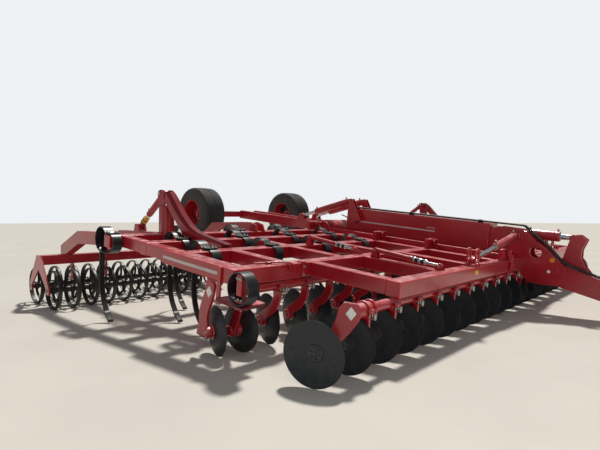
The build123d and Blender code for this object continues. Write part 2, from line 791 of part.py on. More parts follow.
def tower():
    """Two big side plates over the front beam, with the pins of three cylinders and the drawbar."""
    fu, fw = front_bar, bar_height / 2 + weld_gap
    base_u, base_w = to_frame(draw_base_x, draw_base_z)
    outline_frame = [
        (main_front + weld_gap, fw),
        (main_front + weld_gap, base_w + 11),
        (base_u - 287, base_w + 71),
        (base_u + 33, base_w + 61),
    ]
    points = [to_world(u, w) for u, w in outline_frame]
    x, z = draw_pivot_x, draw_pivot_z
    points += [(x - 120, z + 290), (x + 110, z + 70), (x + 120, z - 70), (x + 30, z - 190)]
    points += [(x - 190, z - 190), (x - 350, z - 160)]
    front = front_bar + bar_width / 2 + weld_gap
    points += [to_world(front, -bar_height / 2), to_world(front, fw)]
    pieces = []
    for s in (1, -1):
        a, b = sides(s, tower_in, tower_in + tower_thick)
        side = plate(points, a, b)
        side = side - rod_y(draw_pivot_x - 240, draw_pivot_z + 240, a - 1, b + 1, 75)
        pieces.append(side)
    body = pieces[0] + pieces[1]
    body = body + rod_y(draw_pivot_x, draw_pivot_z, -tower_in - tower_thick - 15,
                        tower_in + tower_thick + 15, draw_pin_r)
    body = body + rod_y(draw_base_x, draw_base_z, -tower_in, tower_in, 30)
    bu, bw = front_bar, fold_base_w
    for s in (1, -1):
        for a, b in ((-66, -38), (38, 66)):
            low, high = sides(s, tower_in + tower_thick - 1, fold_base_y)
            ear = block(bu + a, bu + b, low, high, bw - 45, bw + 45)
            tip = Pos(bu + (a + b) / 2, s * fold_base_y, bw) * Rot(0, 90, 0) * prism(45, 8, b - a)
            body = body + tilt * ear + tilt * tip
        pin = tilt * (Pos(bu, s * fold_base_y, bw) * Rot(0, 90, 0) * Cylinder(25, 132))
        body = body + pin
    return [body.solid()]


def drawbar():
    x, z = draw_pivot_x, draw_pivot_z
    neck = eye_x - 295
    profile = [
        (x - 120, z + 100), (x - 120, z - 100), (x, z - 200), (x + 490, z - 335),
        (eye_x - 1075, eye_z - 115), (neck, eye_z - 75), (neck, eye_z + 75),
        (eye_x - 1075, eye_z + 115), (x + 490, z - 75), (x + 150, z + 70),
    ]
    body = plate(profile, -draw_half, draw_half)
    body = body - rod_y(x, z, -draw_half - 1, draw_half + 1, draw_pin_r + pin_clearance)
    tongue = block(neck, eye_x, -45, 45, eye_z - eye_thick / 2, eye_z + eye_thick / 2)
    eye = Pos(eye_x, 0, eye_z) * Cylinder(eye_r, eye_thick)
    body = body + tongue + eye - Pos(eye_x, 0, eye_z) * Cylinder(eye_bore_r, eye_thick + 2)
    for s in (1, -1):
        a, b = sides(s, 48, 73)
        fin = plate(
            [
                (x + 30, z + 50), (fin_pin_x - 70, fin_pin_z - 30), (fin_pin_x - 40, fin_pin_z + 45),
                (fin_pin_x + 50, fin_pin_z + 45), (fin_pin_x + 130, fin_pin_z - 20),
                (fin_pin_x + 70, fin_pin_z - 150), (fin_pin_x + 60, fin_pin_z - 250),
                (x + 330, z + 70), (x + 440, z - 90), (x + 90, z - 30),
            ],
            a,
            b,
        )
        body = body + fin
    body = body + rod_y(fin_pin_x, fin_pin_z, -73, 73, 25)
    return [body.solid()]


def jack():
    """Parking jack beside the drawbar: outer tube, inner leg and foot."""
    x, y = jack_x, draw_half + weld_gap
    foot_top = 15
    outer = block(x - 40, x + 40, y, y + 80, eye_z - 160, eye_z + 250)
    leg = block(x - 30, x + 30, y + 10, y + 70, foot_top, eye_z - 160)
    foot = block(x - 90, x + 90, y - 50, y + 130, 0, foot_top)
    return [(outer + leg + foot).solid()]


def hose(route, y):
    """A hose along the points (x, z) with round bends, eight-sided, at one y."""
    path = FilletPolyline(*[(x, y, z) for x, z in route], radius=hose_bend)
    start = path ^ 0
    section = start * Rot(0, 0, 22.5) * RegularPolygon(hose_r / math.cos(math.pi / 8), 8)
    return sweep(section, path=path).solid()


def clip(x, z, ys, slope, below):
    """Flat clip under a bundle, from the surface that carries it up to the hoses."""
    low, high = min(ys) - hose_r, max(ys) + hose_r
    body = block(-25, 25, low, high, -hose_r - below, -hose_r - weld_gap)
    return Location((x, 0, z), (0, slope, 0)) * body


def main_hoses():
    """Bundle over the main beam, the tower's top and down its sloping front edge."""
    lift = main_top + clip_thick + hose_r + weld_gap
    x, z = draw_pivot_x, draw_pivot_z
    base_u, base_w = to_frame(draw_base_x, draw_base_z)
    route = [to_world(main_rear + 60, lift), to_world(base_u + 60, max(lift, base_w + 100))]
    # Parallel to the edge between the tower's two front corners
    away = (clip_thick + hose_r) / math.sqrt(2)
    route += [(x - 120 + away + 20, z + 290 + away + 20), (x + 60 + away, z + 120 + away)]
    pieces = [hose(route, y) for y in main_hoses_y]
    for u in (main_rear + 200, (main_rear + main_front) / 2, main_front - 150):
        cx, cz = to_world(u, lift)
        pieces.append(clip(cx, cz, main_hoses_y, pitch, clip_thick))
    return pieces


def drawbar_hoses():
    """Bundle along the drawbar's top, from behind the fin's foot to the coupling holder."""
    x, z = draw_pivot_x, draw_pivot_z
    lift = clip_thick + hose_r + weld_gap
    run = [(x + 490, z - 75), (eye_x - 1075, eye_z + 115), (eye_x - 295, eye_z + 75)]
    (x0, z0), (x1, z1), (x2, z2) = run
    first, second = math.atan2(z0 - z1, x1 - x0), math.atan2(z1 - z2, x2 - x1)

    def above(a, b, share, angle):
        px, pz = a[0] + (b[0] - a[0]) * share, a[1] + (b[1] - a[1]) * share
        return px + lift * math.sin(angle), pz + lift * math.cos(angle)

    start, bend = above(run[0], run[1], 0.08, first), above(run[1], run[2], 0, (first + second) / 2)
    end = above(run[1], run[2], 0.55, second)
    pieces = [hose([start, bend, end], y) for y in draw_hoses_y]
    for a, b, share, angle in ((run[0], run[1], 0.2, first), (run[1], run[2], 0.4, second)):
        cx, cz = above(a, b, share, angle)
        pieces.append(clip(cx, cz, draw_hoses_y, math.degrees(angle), clip_thick))
    return pieces


def running_gear():
    tube = prism_y(gear_x, gear_z, -side_rail_in + 5, side_rail_in - 5, gear_tube_r, 24)
    tube = tube + rod_y(gear_x, gear_z, -side_rail_out - 30, side_rail_out + 30, gear_journal_r)
    dx, dz = wheel_x - gear_x, wheel_z - gear_z
    length = math.hypot(dx, dz)
    angle = math.degrees(math.atan2(dz, -dx))
    for s in (1, -1):
        low, high = sides(s, gear_arm_y - gear_arm_width / 2, gear_arm_y + gear_arm_width / 2)
        half = gear_arm_height / 2
        bar = block(-length, 0, low, high, -half, half)
        tube = tube + Pos(gear_x, 0, gear_z) * Rot(0, angle, 0) * bar
        ear = plate(
            [
                (lift_lug_x - 110, lift_lug_z - 140), (lift_lug_x - 50, lift_lug_z + 45),
                (lift_lug_x + 50, lift_lug_z + 45), (lift_lug_x + 110, lift_lug_z - 140),
            ],
            low,
            high,
        )
        m0, m1 = sides(s, gear_arm_y - 34, gear_arm_y + 34)
        deep = lift_lug_z - 62
        ear = ear - block(lift_lug_x - 200, lift_lug_x + 200, m0, m1, deep, lift_lug_z + 160)
        tube = tube + ear + rod_y(lift_lug_x, lift_lug_z, low, high, 22)
    inner = wheel_y - tyre_half - 60
    tube = tube + block(wheel_x - 60, wheel_x + 60, -inner, inner, wheel_z - 60, wheel_z + 60)
    for s in (1, -1):
        low, high = sides(s, inner - 5, wheel_y + 60)
        tube = tube + rod_y(wheel_x, wheel_z, low, high, spindle_r)
    return [tube.solid()]


def lift_brackets():
    """Cheeks on the main beam's rear sides with the pins of the lift cylinders' barrels."""
    u, w = to_frame(lift_base_x, lift_base_z)
    near = main_half + weld_gap
    far = 2 * gear_arm_y - near
    outline = [(u - 32, w - 20), (u - 32, w + 32), (u + 40, w + 40)]
    outline += [(u + 260, main_top - 180), (u + 60, main_top - 260)]
    pieces = []
    for s in (1, -1):
        a, b = sides(s, near, near + 14)
        c, d = sides(s, far - 14, far)
        low, high = sides(s, near, far)
        body = plate(outline, a, b) + plate(outline, c, d)
        body = body + block(u + 90, u + 150, low, high, main_top - 210, main_top - 90)
        body = body + rod_y(u, w, low, high, 22)
        pieces.append(tilt * body.solid())
    return pieces


def wheel(s):
    place = Pos(wheel_x, s * wheel_y, wheel_z)
    flip = Rot(0, 0, 0) if s > 0 else Rot(0, 0, 180)
    half = tyre_half - 8
    hub_bore = spindle_r - 5
    seat_r = rim_r - weld_gap
    rim_points = [
        (hub_bore, -70), (110, -70), (110, -20), (rim_r - 30, 30), (rim_r - 30, -half), (seat_r, -half),
        (seat_r, half), (rim_r - 30, half), (rim_r - 30, 50), (110, 0), (110, 70), (hub_bore, 70),
    ]
    tyre_points = [
        (rim_r, -half), (rim_r + 90, -tyre_half), (tyre_r - 60, -tyre_half + 10),
        (tyre_r, -tyre_half + 60), (tyre_r, tyre_half - 60), (tyre_r - 60, tyre_half - 10),
        (rim_r + 90, tyre_half), (rim_r, half),
    ]
    turn = Rot(-90, 0, 0)
    bore = Cylinder(spindle_r + pin_clearance, 200)
    rim = faceted(rim_points, wheel_sides) - bore
    return place * flip * turn * rim.solid(), place * flip * turn * faceted(tyre_points, wheel_sides)


def build():
    os.makedirs("parts", exist_ok=True)
    save("main_beam", main_beam())
    save("centre_frame", centre_frame())
    save("tower", tower())
    discs, arms = [], []
    for s, fronts, rears in ((1, [0], [1]), (-1, [0], [0, 1])):
        d, a = disc_rows(fronts, rears, s)
        discs += d
        arms += a
    save("centre_discs", discs)
    save("centre_disc_arms", arms)
    save("centre_tines", [tine(tine_bars["front"], y) for y in (-centre_tine_y, centre_tine_y)])
    save("drawbar", drawbar())
    save("jack", jack())
    save("main_hoses", main_hoses())
    save("drawbar_hoses", drawbar_hoses())
    save("lift_brackets", lift_brackets())
    barrel, rod = cylinder(
        (draw_base_x, 0, draw_base_z), (fin_pin_x, 0, fin_pin_z), (0, 1, 0),
        80, 70, 38, (30, 25), 485, 180, draw_eye_play,
    )
    save("drawbar_cylinder_barrel", [barrel])
    save("drawbar_cylinder_rod", [rod])
    save("running_gear", running_gear())
    barrels, rods = [], []
    for s in (1, -1):
        y = s * gear_arm_y
        barrel, rod = cylinder(
            (lift_base_x, y, lift_base_z), (lift_lug_x, y, lift_lug_z), (0, 1, 0),
            54, 60, 32, (22, 22), 850, 300, lift_eye_play,
        )
        barrels.append(barrel)
        rods.append(rod)
    save("lift_cylinder_barrels", barrels)
    save("lift_cylinder_rods", rods)
    for s, side in ((1, "left"), (-1, "right")):
        save(f"wing_frame_{side}", wing_frame(s))
        fronts = range(1, discs_per_side + 1)
        rears = range(2, discs_per_side)
        discs, arms = disc_rows(fronts, rears, s)
        save(f"wing_discs_{side}", discs + edge_discs(s))
        save(f"wing_disc_arms_{side}", arms + edge_arms(s))
        save(f"wing_tines_{side}", wing_tines(s) + [edge_loop(s)])
        save(f"packer_brackets_{side}", packer_brackets(s))
        save(f"packer_mast_{side}", mast(s))
        save(f"packer_frame_{side}", packer_frame(s))
        save(f"packer_roller_front_{side}", [roller(axle_front_x, s)])
        save(f"packer_roller_rear_{side}", [roller(axle_rear_x, s)])
        y = s * mast_y
        barrel, rod = cylinder(
            (mast_top_x, y, mast_top_z), (packer_lug_x, y, packer_lug_z), (0, 1, 0),
            60, 45, 25, (22, 20), 505, 130, packer_eye_play,
        )
        save(f"packer_cylinder_barrel_{side}", [barrel])
        save(f"packer_cylinder_rod_{side}", [rod])
        base, tip = fold_points(s)
        barrel, rod = cylinder(
            base, tip, (cos_p, 0, -sin_p), 60, 50, 28, (25, fold_pin_r), 765, 665, 0,
        )
        pin = Pos(front_bar, s * fold_lug_y, fold_lug_w) * Rot(0, 90, 0) * Cylinder(fold_pin_r, 120)
        rod = (rod + tilt * pin).solid()
        save(f"fold_cylinder_barrel_{side}", [barrel])
        save(f"fold_cylinder_rod_{side}", [rod])
        rim_solid, tyre_solid = wheel(s)
        save(f"wheel_rim_{side}", [rim_solid])
        save(f"tyre_{side}", [tyre_solid])


build()
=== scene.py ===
"""Dressing of the trailed disc and tine cultivator: materials, rounded edges and fine detail.

Metres, +X forward, +Y left, +Z up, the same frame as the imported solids.
"""

from math import atan2, copysign, cos, hypot, pi, radians, sin, sqrt, tan, tau

import bmesh
import bpy
from mathutils import Matrix, Vector


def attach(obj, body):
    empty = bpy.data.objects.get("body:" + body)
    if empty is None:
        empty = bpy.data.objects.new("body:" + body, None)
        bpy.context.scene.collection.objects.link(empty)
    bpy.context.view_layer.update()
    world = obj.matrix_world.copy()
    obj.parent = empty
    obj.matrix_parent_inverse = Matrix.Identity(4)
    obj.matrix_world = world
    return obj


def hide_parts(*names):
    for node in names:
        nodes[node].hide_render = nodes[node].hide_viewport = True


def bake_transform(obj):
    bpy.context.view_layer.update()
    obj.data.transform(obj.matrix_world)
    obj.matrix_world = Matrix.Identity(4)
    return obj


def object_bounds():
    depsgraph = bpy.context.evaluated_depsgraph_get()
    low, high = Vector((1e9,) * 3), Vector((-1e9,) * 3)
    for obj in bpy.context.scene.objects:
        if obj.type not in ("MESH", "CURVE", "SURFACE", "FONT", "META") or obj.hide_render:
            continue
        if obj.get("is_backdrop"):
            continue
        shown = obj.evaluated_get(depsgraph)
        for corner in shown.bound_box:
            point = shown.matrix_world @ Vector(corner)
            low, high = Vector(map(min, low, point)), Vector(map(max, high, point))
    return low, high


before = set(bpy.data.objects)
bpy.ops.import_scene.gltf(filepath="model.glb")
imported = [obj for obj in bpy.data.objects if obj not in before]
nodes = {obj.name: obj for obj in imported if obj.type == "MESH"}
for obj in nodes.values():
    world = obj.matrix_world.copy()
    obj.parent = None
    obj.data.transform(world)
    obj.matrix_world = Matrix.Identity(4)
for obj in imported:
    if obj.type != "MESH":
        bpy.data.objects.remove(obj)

cad_box = [list(c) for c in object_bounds()]
SIDES = ((1, "left"), (-1, "right"))

# Sizes repeated from the solids
PITCH = radians(6.0)
FRAME_HEIGHT = 0.865
FRONT_BAR, MIDDLE_BAR = 1.9, 0.845
BAR = 0.15
DISC_R, DISC_DISH, DISC_STEER = 0.26, 0.045, radians(15.0)
DISC_PITCH, DISCS = 0.4, 10
FRONT_DISC_X, REAR_DISC_X = 1.75, 0.6
FRONT_TUBE_R, MIDDLE_TUBE_R = 0.046, 0.055
FRONT_TUBE_END, ELBOW_Y = 4.14, 3.93
ARM_GAP, ARM_THICK, ARM_WIDTH = 0.07, 0.03, 0.095
EDGE_R = 0.235
SPRUNG, SPRUNG_STEER = (0.62, 3.97), radians(-5.0)
RIGID, RIGID_HANGER_U, RAIL_OUT = (0.56, 4.205), 0.611, 4.3
LOOP_U, LOOP_W, LOOP_Y, LOOP_MID_R, LOOP_WIDTH = 1.076, -0.053, 4.31, 0.136, 0.12
SHANK_WIDTH, SHANK_THICK = 0.065, 0.02
SPRING_WIDTH, SPRING_THICK, LOOP_R, LOOP_BACK = 0.12, 0.012, 0.15, -0.2
TINE_ROWS = ((-0.05, (3.85, 2.92, 1.99, 1.06)), (-0.8, (3.71, 2.77, 1.83, 0.89)),
             (-1.425, (4.295, 3.24, 2.3, 1.36)))
MAIN_HALF, MAIN_TOP, MAIN_REAR, MAIN_FRONT = 0.16, 0.51, -1.02, 1.53
TOWER_OUT = 0.125
DRAW_PIVOT, EYE = (2.41, 0.59), (4.375, 0.31)
HOSE_R, HOSE_LIFT = 0.013, 0.0253
PACKER_R, RINGS, RING_WIDTH = 0.275, 12, 0.06
PACKER_IN, PACKER_OUT = 1.59, 4.56
AXLES = {"front": -2.88, "rear": -3.58}
WHEEL = Vector((-3.9, 1.29, 1.38))
TYRE_R, TYRE_HALF, RIM_R = 0.535, 0.25, 0.286
HAIR = 0.0003  # Gap that keeps two faces from lying in one plane


def to_world(u, w):
    c, s = cos(PITCH), sin(PITCH)
    return u * c + w * s, FRAME_HEIGHT - u * s + w * c


def to_frame(x, z):
    c, s = cos(PITCH), sin(PITCH)
    return x * c - (z - FRAME_HEIGHT) * s, x * s + (z - FRAME_HEIGHT) * c


def turned(point, angle, axis):
    return Matrix.Translation(point) @ Matrix.Rotation(angle, 4, axis)


TILT = turned((0, 0, FRAME_HEIGHT), PITCH, "Y")


# Materials


def feed(tree, node, inputs):
    """Link outputs to the node's sockets, or set the sockets' constants."""
    for key, value in inputs.items():
        if isinstance(value, bpy.types.NodeSocket):
            tree.links.new(value, node.inputs[key])
        else:
            node.inputs[key].default_value = (*value, 1) if isinstance(value, tuple) else value
    return node


def add_node(tree, kind, inputs):
    return feed(tree, tree.nodes.new("ShaderNode" + kind), inputs)


def noise(tree, coords, scale, detail=6.0, rough=0.6):
    return add_node(tree, "TexNoise", {"Vector": coords, "Scale": scale, "Detail": detail,
                                       "Roughness": rough}).outputs["Fac"]


def ramp(tree, value, low, high):
    node = add_node(tree, "MapRange", {"Value": value, "From Min": low, "From Max": high})
    node.interpolation_type = "SMOOTHSTEP"
    return node.outputs["Result"]


def combine(tree, operation, a, b):
    node = add_node(tree, "Math", {0: a, 1: b})
    node.operation = operation
    return node.outputs[0]


def blend_colour(tree, factor, a, b):
    node = tree.nodes.new("ShaderNodeMix")
    node.data_type = "RGBA"
    # 6 and 7 are the two colours, and output 2 their blend
    return feed(tree, node, {0: factor, 6: a, 7: b}).outputs[2]


def surface(name, colour, rough, metal=0.0, coat=0.0, vary=0.75, dust_and_sheen=0.35, low_dust=0.0,
            dust_and_sheen_colour=(0.42, 0.34, 0.25), grain=180.0, bump=0.02, patches=2.5):
    """Paint or metal with uneven tone, a tint on faces that look up (dust; a painted highlight on
    the red paint), and a fine grain.
    """
    mat = bpy.data.materials.new(name)
    mat.use_nodes = True
    tree = mat.node_tree
    coords = tree.nodes.new("ShaderNodeTexCoord").outputs["Object"]
    tone = ramp(tree, noise(tree, coords, patches), 0.3, 0.7)
    base = blend_colour(tree, tone, tuple(c * vary for c in colour), colour)
    normal = tree.nodes.new("ShaderNodeNewGeometry").outputs["Normal"]
    # Faces that look up get a tint: dust on most finishes, a painted highlight (the gloss's sheen)
    # on the red paint.
    up = ramp(tree, add_node(tree, "SeparateXYZ", {0: normal}).outputs["Z"], 0.1, 1.0)
    speckle = ramp(tree, noise(tree, coords, 9.0, 8.0, 0.7), 0.35, 0.75)
    dust_and_sheen_mask = combine(tree, "MULTIPLY", combine(tree, "MULTIPLY", up, speckle), dust_and_sheen)
    if low_dust:
        height = add_node(tree, "SeparateXYZ", {0: coords}).outputs["Z"]
        low = add_node(tree, "MapRange", {"Value": height, "From Min": 0.5, "From Max": 0.0})
        earth = ramp(tree, noise(tree, coords, 14.0, 9.0, 0.7), 0.38, 0.62)
        earth = combine(tree, "MULTIPLY", low.outputs["Result"], earth)
        dust_and_sheen_mask = combine(tree, "MAXIMUM", dust_and_sheen_mask, combine(tree, "MULTIPLY", earth, low_dust))
    level = add_node(tree, "MapRange", {"Value": dust_and_sheen_mask, "To Min": rough,
                                        "To Max": min(1.0, rough + 0.6)})
    relief = add_node(tree, "Bump", {"Strength": 0.25, "Distance": bump * 0.01,
                                     "Height": noise(tree, coords, grain, 3.0)})
    feed(tree, tree.nodes["Principled BSDF"], {
        "Base Color": blend_colour(tree, dust_and_sheen_mask, base, dust_and_sheen_colour), "Metallic": metal,
        "Roughness": level.outputs["Result"], "Coat Weight": coat, "Coat Roughness": 0.15,
        "Normal": relief.outputs["Normal"],
    })
    return mat


RED = (0.44, 0.008, 0.018)
# Its pale pink tint on faces that look up is a painted highlight, the sheen of the gloss on the
# tops, not dust.
red = surface("red_gloss_paint", RED, 0.3, coat=0.6, vary=0.78, dust_and_sheen=0.62, bump=0.05,
              dust_and_sheen_colour=(0.82, 0.42, 0.42))
red_edge = surface("red_paint_worn_edge", (0.62, 0.05, 0.06), 0.4, coat=0.2, vary=0.8, dust_and_sheen=0.15,
                   patches=9.0)
blade_steel = surface("blade_blue_black", (0.014, 0.021, 0.027), 0.4, metal=0.2, vary=0.88,
                      dust_and_sheen=0.1, low_dust=0.05, grain=90.0, bump=0.05, patches=3.0)
hub_black = surface("hub_blue_black", (0.012, 0.017, 0.024), 0.42, coat=0.1, dust_and_sheen=0.16,
                    low_dust=0.12, patches=9.0)
spring_steel = surface("spring_black", (0.007, 0.01, 0.014), 0.34, coat=0.12, dust_and_sheen=0.08,
                       low_dust=0.1, patches=6.0)
ring_steel = surface("ring_green_black", (0.008, 0.012, 0.014), 0.42, metal=0.1,
                     dust_and_sheen=0.1, low_dust=0.12, patches=7.0)
point_steel = surface("worn_point_steel", (0.045, 0.045, 0.048), 0.45, metal=0.6, vary=0.6,
                      dust_and_sheen=0.15, low_dust=0.2, patches=20.0)
sidewall = surface("tyre_sidewall", (0.062, 0.06, 0.056), 0.8, dust_and_sheen=0.3,
                   dust_and_sheen_colour=(0.22, 0.19, 0.15), grain=260.0, bump=0.08, patches=5.0)
zinc = surface("zinc_plate", (0.55, 0.54, 0.5), 0.38, metal=0.85, vary=0.7, dust_and_sheen=0.2,
               patches=25.0)
chrome = surface("hard_chrome", (0.78, 0.8, 0.83), 0.12, metal=1.0, vary=0.9, dust_and_sheen=0.06,
                 bump=0.0, patches=6.0)
rubber = surface("tyre_rubber", (0.035, 0.035, 0.037), 0.75, vary=0.6, dust_and_sheen=0.5,
                 dust_and_sheen_colour=(0.22, 0.19, 0.15), grain=260.0, bump=0.12, patches=4.0)
hose_rubber = surface("hose_rubber", (0.012, 0.013, 0.015), 0.5, vary=0.7, dust_and_sheen=0.25,
                      patches=12.0, grain=400.0)
amber = surface("amber_reflector", (0.85, 0.28, 0.01), 0.15, coat=0.8, vary=0.85, dust_and_sheen=0.05,
                grain=600.0, bump=0.3, patches=40.0)
white = surface("white_reflector", (0.8, 0.8, 0.78), 0.2, coat=0.6, vary=0.92, dust_and_sheen=0.08,
                grain=700.0, bump=0.3, patches=30.0)
grey_hose = surface("grey_hose", (0.42, 0.42, 0.4), 0.5, vary=0.85, dust_and_sheen=0.1, patches=20.0)
yellow = surface("yellow_sticker", (0.85, 0.5, 0.02), 0.4, coat=0.3, vary=0.85, dust_and_sheen=0.12,
                 patches=30.0)
stripe = surface("white_stripe", (0.62, 0.52, 0.52), 0.4, coat=0.3, vary=0.85, dust_and_sheen=0.1,
                 patches=12.0)


# Mesh makers: each adds one closed form to a bmesh


def sew(bm, rings, mat=0):
    """Faces between successive rings of vertices, and one face on each end."""
    count = len(rings[0])
    for a, b in zip(rings, rings[1:]):
        for i in range(count):
            j = (i + 1) % count
            face = bm.faces.new((a[i], b[i], b[j], a[j]))
            face.material_index = mat
            face.smooth = True
    for ring in (rings[0][::-1], rings[-1]):
        bm.faces.new(ring).material_index = mat


def add_prism(bm, outline, low, high, matrix=None, mat=0):
    """A plate whose outline (x, z) is extruded from low to high along Y."""
    m = matrix or Matrix()
    sew(bm, [[bm.verts.new(m @ Vector((x, y, z))) for x, z in outline] for y in (low, high)], mat)


def add_box(bm, low, high, matrix=None, mat=0):
    outline = [(low[0], low[2]), (high[0], low[2]), (high[0], high[2]), (low[0], high[2])]
    add_prism(bm, outline, low[1], high[1], matrix, mat)


def polar(r, angle, z=0.0):
    return Vector((r * cos(angle), r * sin(angle), z))


def add_revolve(bm, profile, count, matrix, mat=0):
    """The closed profile of (radius, height) turned round Z; a zero radius makes a point."""
    rings = []
    for r, z in profile:
        steps = 1 if r < 1e-6 else count
        rings.append([bm.verts.new(matrix @ polar(r, tau * i / count, z))
                      for i in range(steps)])
    for a, b in zip(rings, rings[1:] + rings[:1]):
        if len(a) == 1 and len(b) == 1:
            continue
        for i in range(count):
            j = i + 1
            corners = (a[i % len(a)], b[i % len(b)], b[j % len(b)], a[j % len(a)])
            bm.faces.new(tuple(dict.fromkeys(corners))).material_index = mat


def across(point, direction):
    """Matrix that puts local Z along direction at the point."""
    d = Vector(direction).normalized()
    return Matrix.Translation(point) @ d.to_track_quat("Z", "Y").to_matrix().to_4x4()


def add_rod(bm, a, b, r, count=24, mat=0, round_edge=0.002, hollow=0.0):
    a, b = Vector(a), Vector(b)
    length = (b - a).length
    e = min(round_edge, r * 0.4, length * 0.4)
    profile = [(hollow, 0), (r - e, 0), (r, e), (r, length - e), (r - e, length), (hollow, length)]
    add_revolve(bm, profile, count, across(a, b - a), mat)


def add_bolt(bm, point, direction, r=0.011, mat=0):
    """Hexagon head on a washer, standing on a face along direction."""
    m = across(point, direction)
    add_revolve(bm, [(0, 0), (r * 1.35, 0), (r * 1.35, r * 0.22), (0, r * 0.22)], 16, m, mat)
    h = r * 0.95
    top = h + r * 0.12
    add_revolve(bm, [(0, r * 0.2), (r, r * 0.2), (r, h), (r * 0.85, top), (0, top)], 6, m, mat)


def bolt_circle(bm, matrix, radius, count, phase, z, facing, r, mat):
    for k in range(count):
        p = matrix @ polar(radius, tau * k / count + phase, z)
        add_bolt(bm, p, matrix.to_3x3() @ Vector((0, 0, facing)), r, mat)


def frame_bolts(bm, us, ys, w, direction, r, mat=1, stud=None):
    """Bolts at each u and y of the tilted frame; stud is their threaded end (radius, length)."""
    way = TILT.to_3x3() @ Vector(direction)
    for u in us:
        for y in ys:
            p = TILT @ Vector((u, y, w))
            add_bolt(bm, p, way, r, mat)
            if stud:
                add_rod(bm, p, p + way * stud[1], stud[0], 10, mat, 0.001)


def smooth_path(points, steps=6):
    """Catmull-Rom points through the given ones."""
    pts = [Vector(p) for p in points]
    out = []
    for i in range(len(pts) - 1):
        p0 = pts[i - 1] if i else pts[0] * 2 - pts[1]
        p3 = pts[i + 2] if i + 2 < len(pts) else pts[-1] * 2 - pts[-2]
        p1, p2 = pts[i], pts[i + 1]
        for k in range(steps):
            t = k / steps
            out.append(0.5 * ((2 * p1) + (p2 - p0) * t + (2 * p0 - 5 * p1 + 4 * p2 - p3) * t * t
                              + (3 * p1 - p0 - 3 * p2 + p3) * t ** 3))
    out.append(pts[-1])
    return out


def curve(points, steps=6):
    """The same for points in a plane."""
    return [(p.x, p.y) for p in smooth_path([(a, b, 0) for a, b in points], steps)]


def heading(path, i):
    return (path[min(i + 1, len(path) - 1)] - path[max(i - 1, 0)]).normalized()


def add_tube(bm, points, r, count=10, mat=0):
    """A round tube along the points, with closed ends."""
    pts = [Vector(p) for p in points]
    rings = []
    normal = None
    for i, p in enumerate(pts):
        t = heading(pts, i)
        if normal is None:
            normal = t.cross(Vector((0, 0, 1) if abs(t.z) < 0.9 else (1, 0, 0))).normalized()
        normal = (normal - t * normal.dot(t)).normalized()
        side = t.cross(normal)
        rings.append([bm.verts.new(p + r * (normal * cos(a) + side * sin(a)))
                      for a in (tau * k / count for k in range(count))])
    sew(bm, rings, mat)


def add_sheet(bm, centre, ux, uz, outline, thick, mat):
    """A thin plate at the centre, its outline given along the two directions."""
    ux, uz = Vector(ux).normalized(), Vector(uz).normalized()
    out = ux.cross(uz)
    m = Matrix((ux, out, uz)).transposed().to_4x4()
    m.translation = Vector(centre)
    add_prism(bm, outline, -thick / 2, thick / 2, m, mat)


def rhombus(a, b):
    return [(-a, 0), (0, -b), (a, 0), (0, b)]


def bent(points, radius, steps):
    """Points along straight runs whose corners are rounded with arcs."""
    pts = [Vector(p) for p in points]
    out = [pts[0]]
    for a, b, c in zip(pts, pts[1:], pts[2:]):
        p, q = (a - b).normalized(), (c - b).normalized()
        half = p.angle(q) / 2
        reach = min(radius / tan(half), 0.48 * min((a - b).length, (c - b).length))
        r = reach * tan(half)
        centre = b + (p + q).normalized() * (r / sin(half))
        start, end = b + p * reach - centre, b + q * reach - centre
        for k in range(steps + 1):
            out.append(centre + start.slerp(end, k / steps).normalized() * r)
    out.append(pts[-1])
    return out


def add_strap(bm, path, y, thick, width, mat=0, taper=None):
    """A flat bar bent along path (x, z), thick in the plane and width wide in Y."""
    pts = [Vector(p) for p in path]
    rings = []
    for i, p in enumerate(pts):
        d = heading(pts, i)
        t, w = taper(i / (len(pts) - 1)) if taper else (1.0, 1.0)
        h, v = width * w / 2, thick * t / 2
        c = min(0.25 * thick * t, 0.004)
        corners = [(-v + c, -h), (v - c, -h), (v, -h + c), (v, h - c), (v - c, h), (-v + c, h),
                   (-v, h - c), (-v, -h + c)]
        rings.append([bm.verts.new((p.x - d.y * a, y + b, p.y + d.x * a)) for a, b in corners])
    sew(bm, rings, mat)


def add_object(name, data):
    obj = bpy.data.objects.new(name, data)
    bpy.context.scene.collection.objects.link(obj)
    return obj


def add_mesh(name, bm, mats):
    bmesh.ops.recalc_face_normals(bm, faces=bm.faces)
    mesh = bpy.data.meshes.new(name)
    bm.to_mesh(mesh)
    bm.free()
    for m in mats:
        mesh.materials.append(m)
    return add_object(name, mesh)


def finish_piece(name, bm, mats, body, replaced=(), bevel=0.0):
    obj = add_mesh(name, bm, mats)
    for p in obj.data.polygons:
        p.use_smooth = True
    if bevel:
        mod = obj.modifiers.new("rounded", "BEVEL")
        mod.width = bevel
        mod.segments = 2
        mod.limit_method = "ANGLE"
        mod.angle_limit = radians(35.0)
    mod = obj.modifiers.new("weighted", "WEIGHTED_NORMAL")
    mod.mode = "FACE_AREA"
    mod.weight = 80
    mod.keep_sharp = True
    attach(obj, body)
    if replaced:
        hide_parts(*replaced)


def islands(bm):
    """Groups of joined vertices."""
    left = dict.fromkeys(bm.verts)
    while left:
        found = [left.popitem()[0]]
        for v in found:
            for other in [e.other_vert(v) for e in v.link_edges]:
                if other in left:
                    del left[other]
                    found.append(other)
        yield found


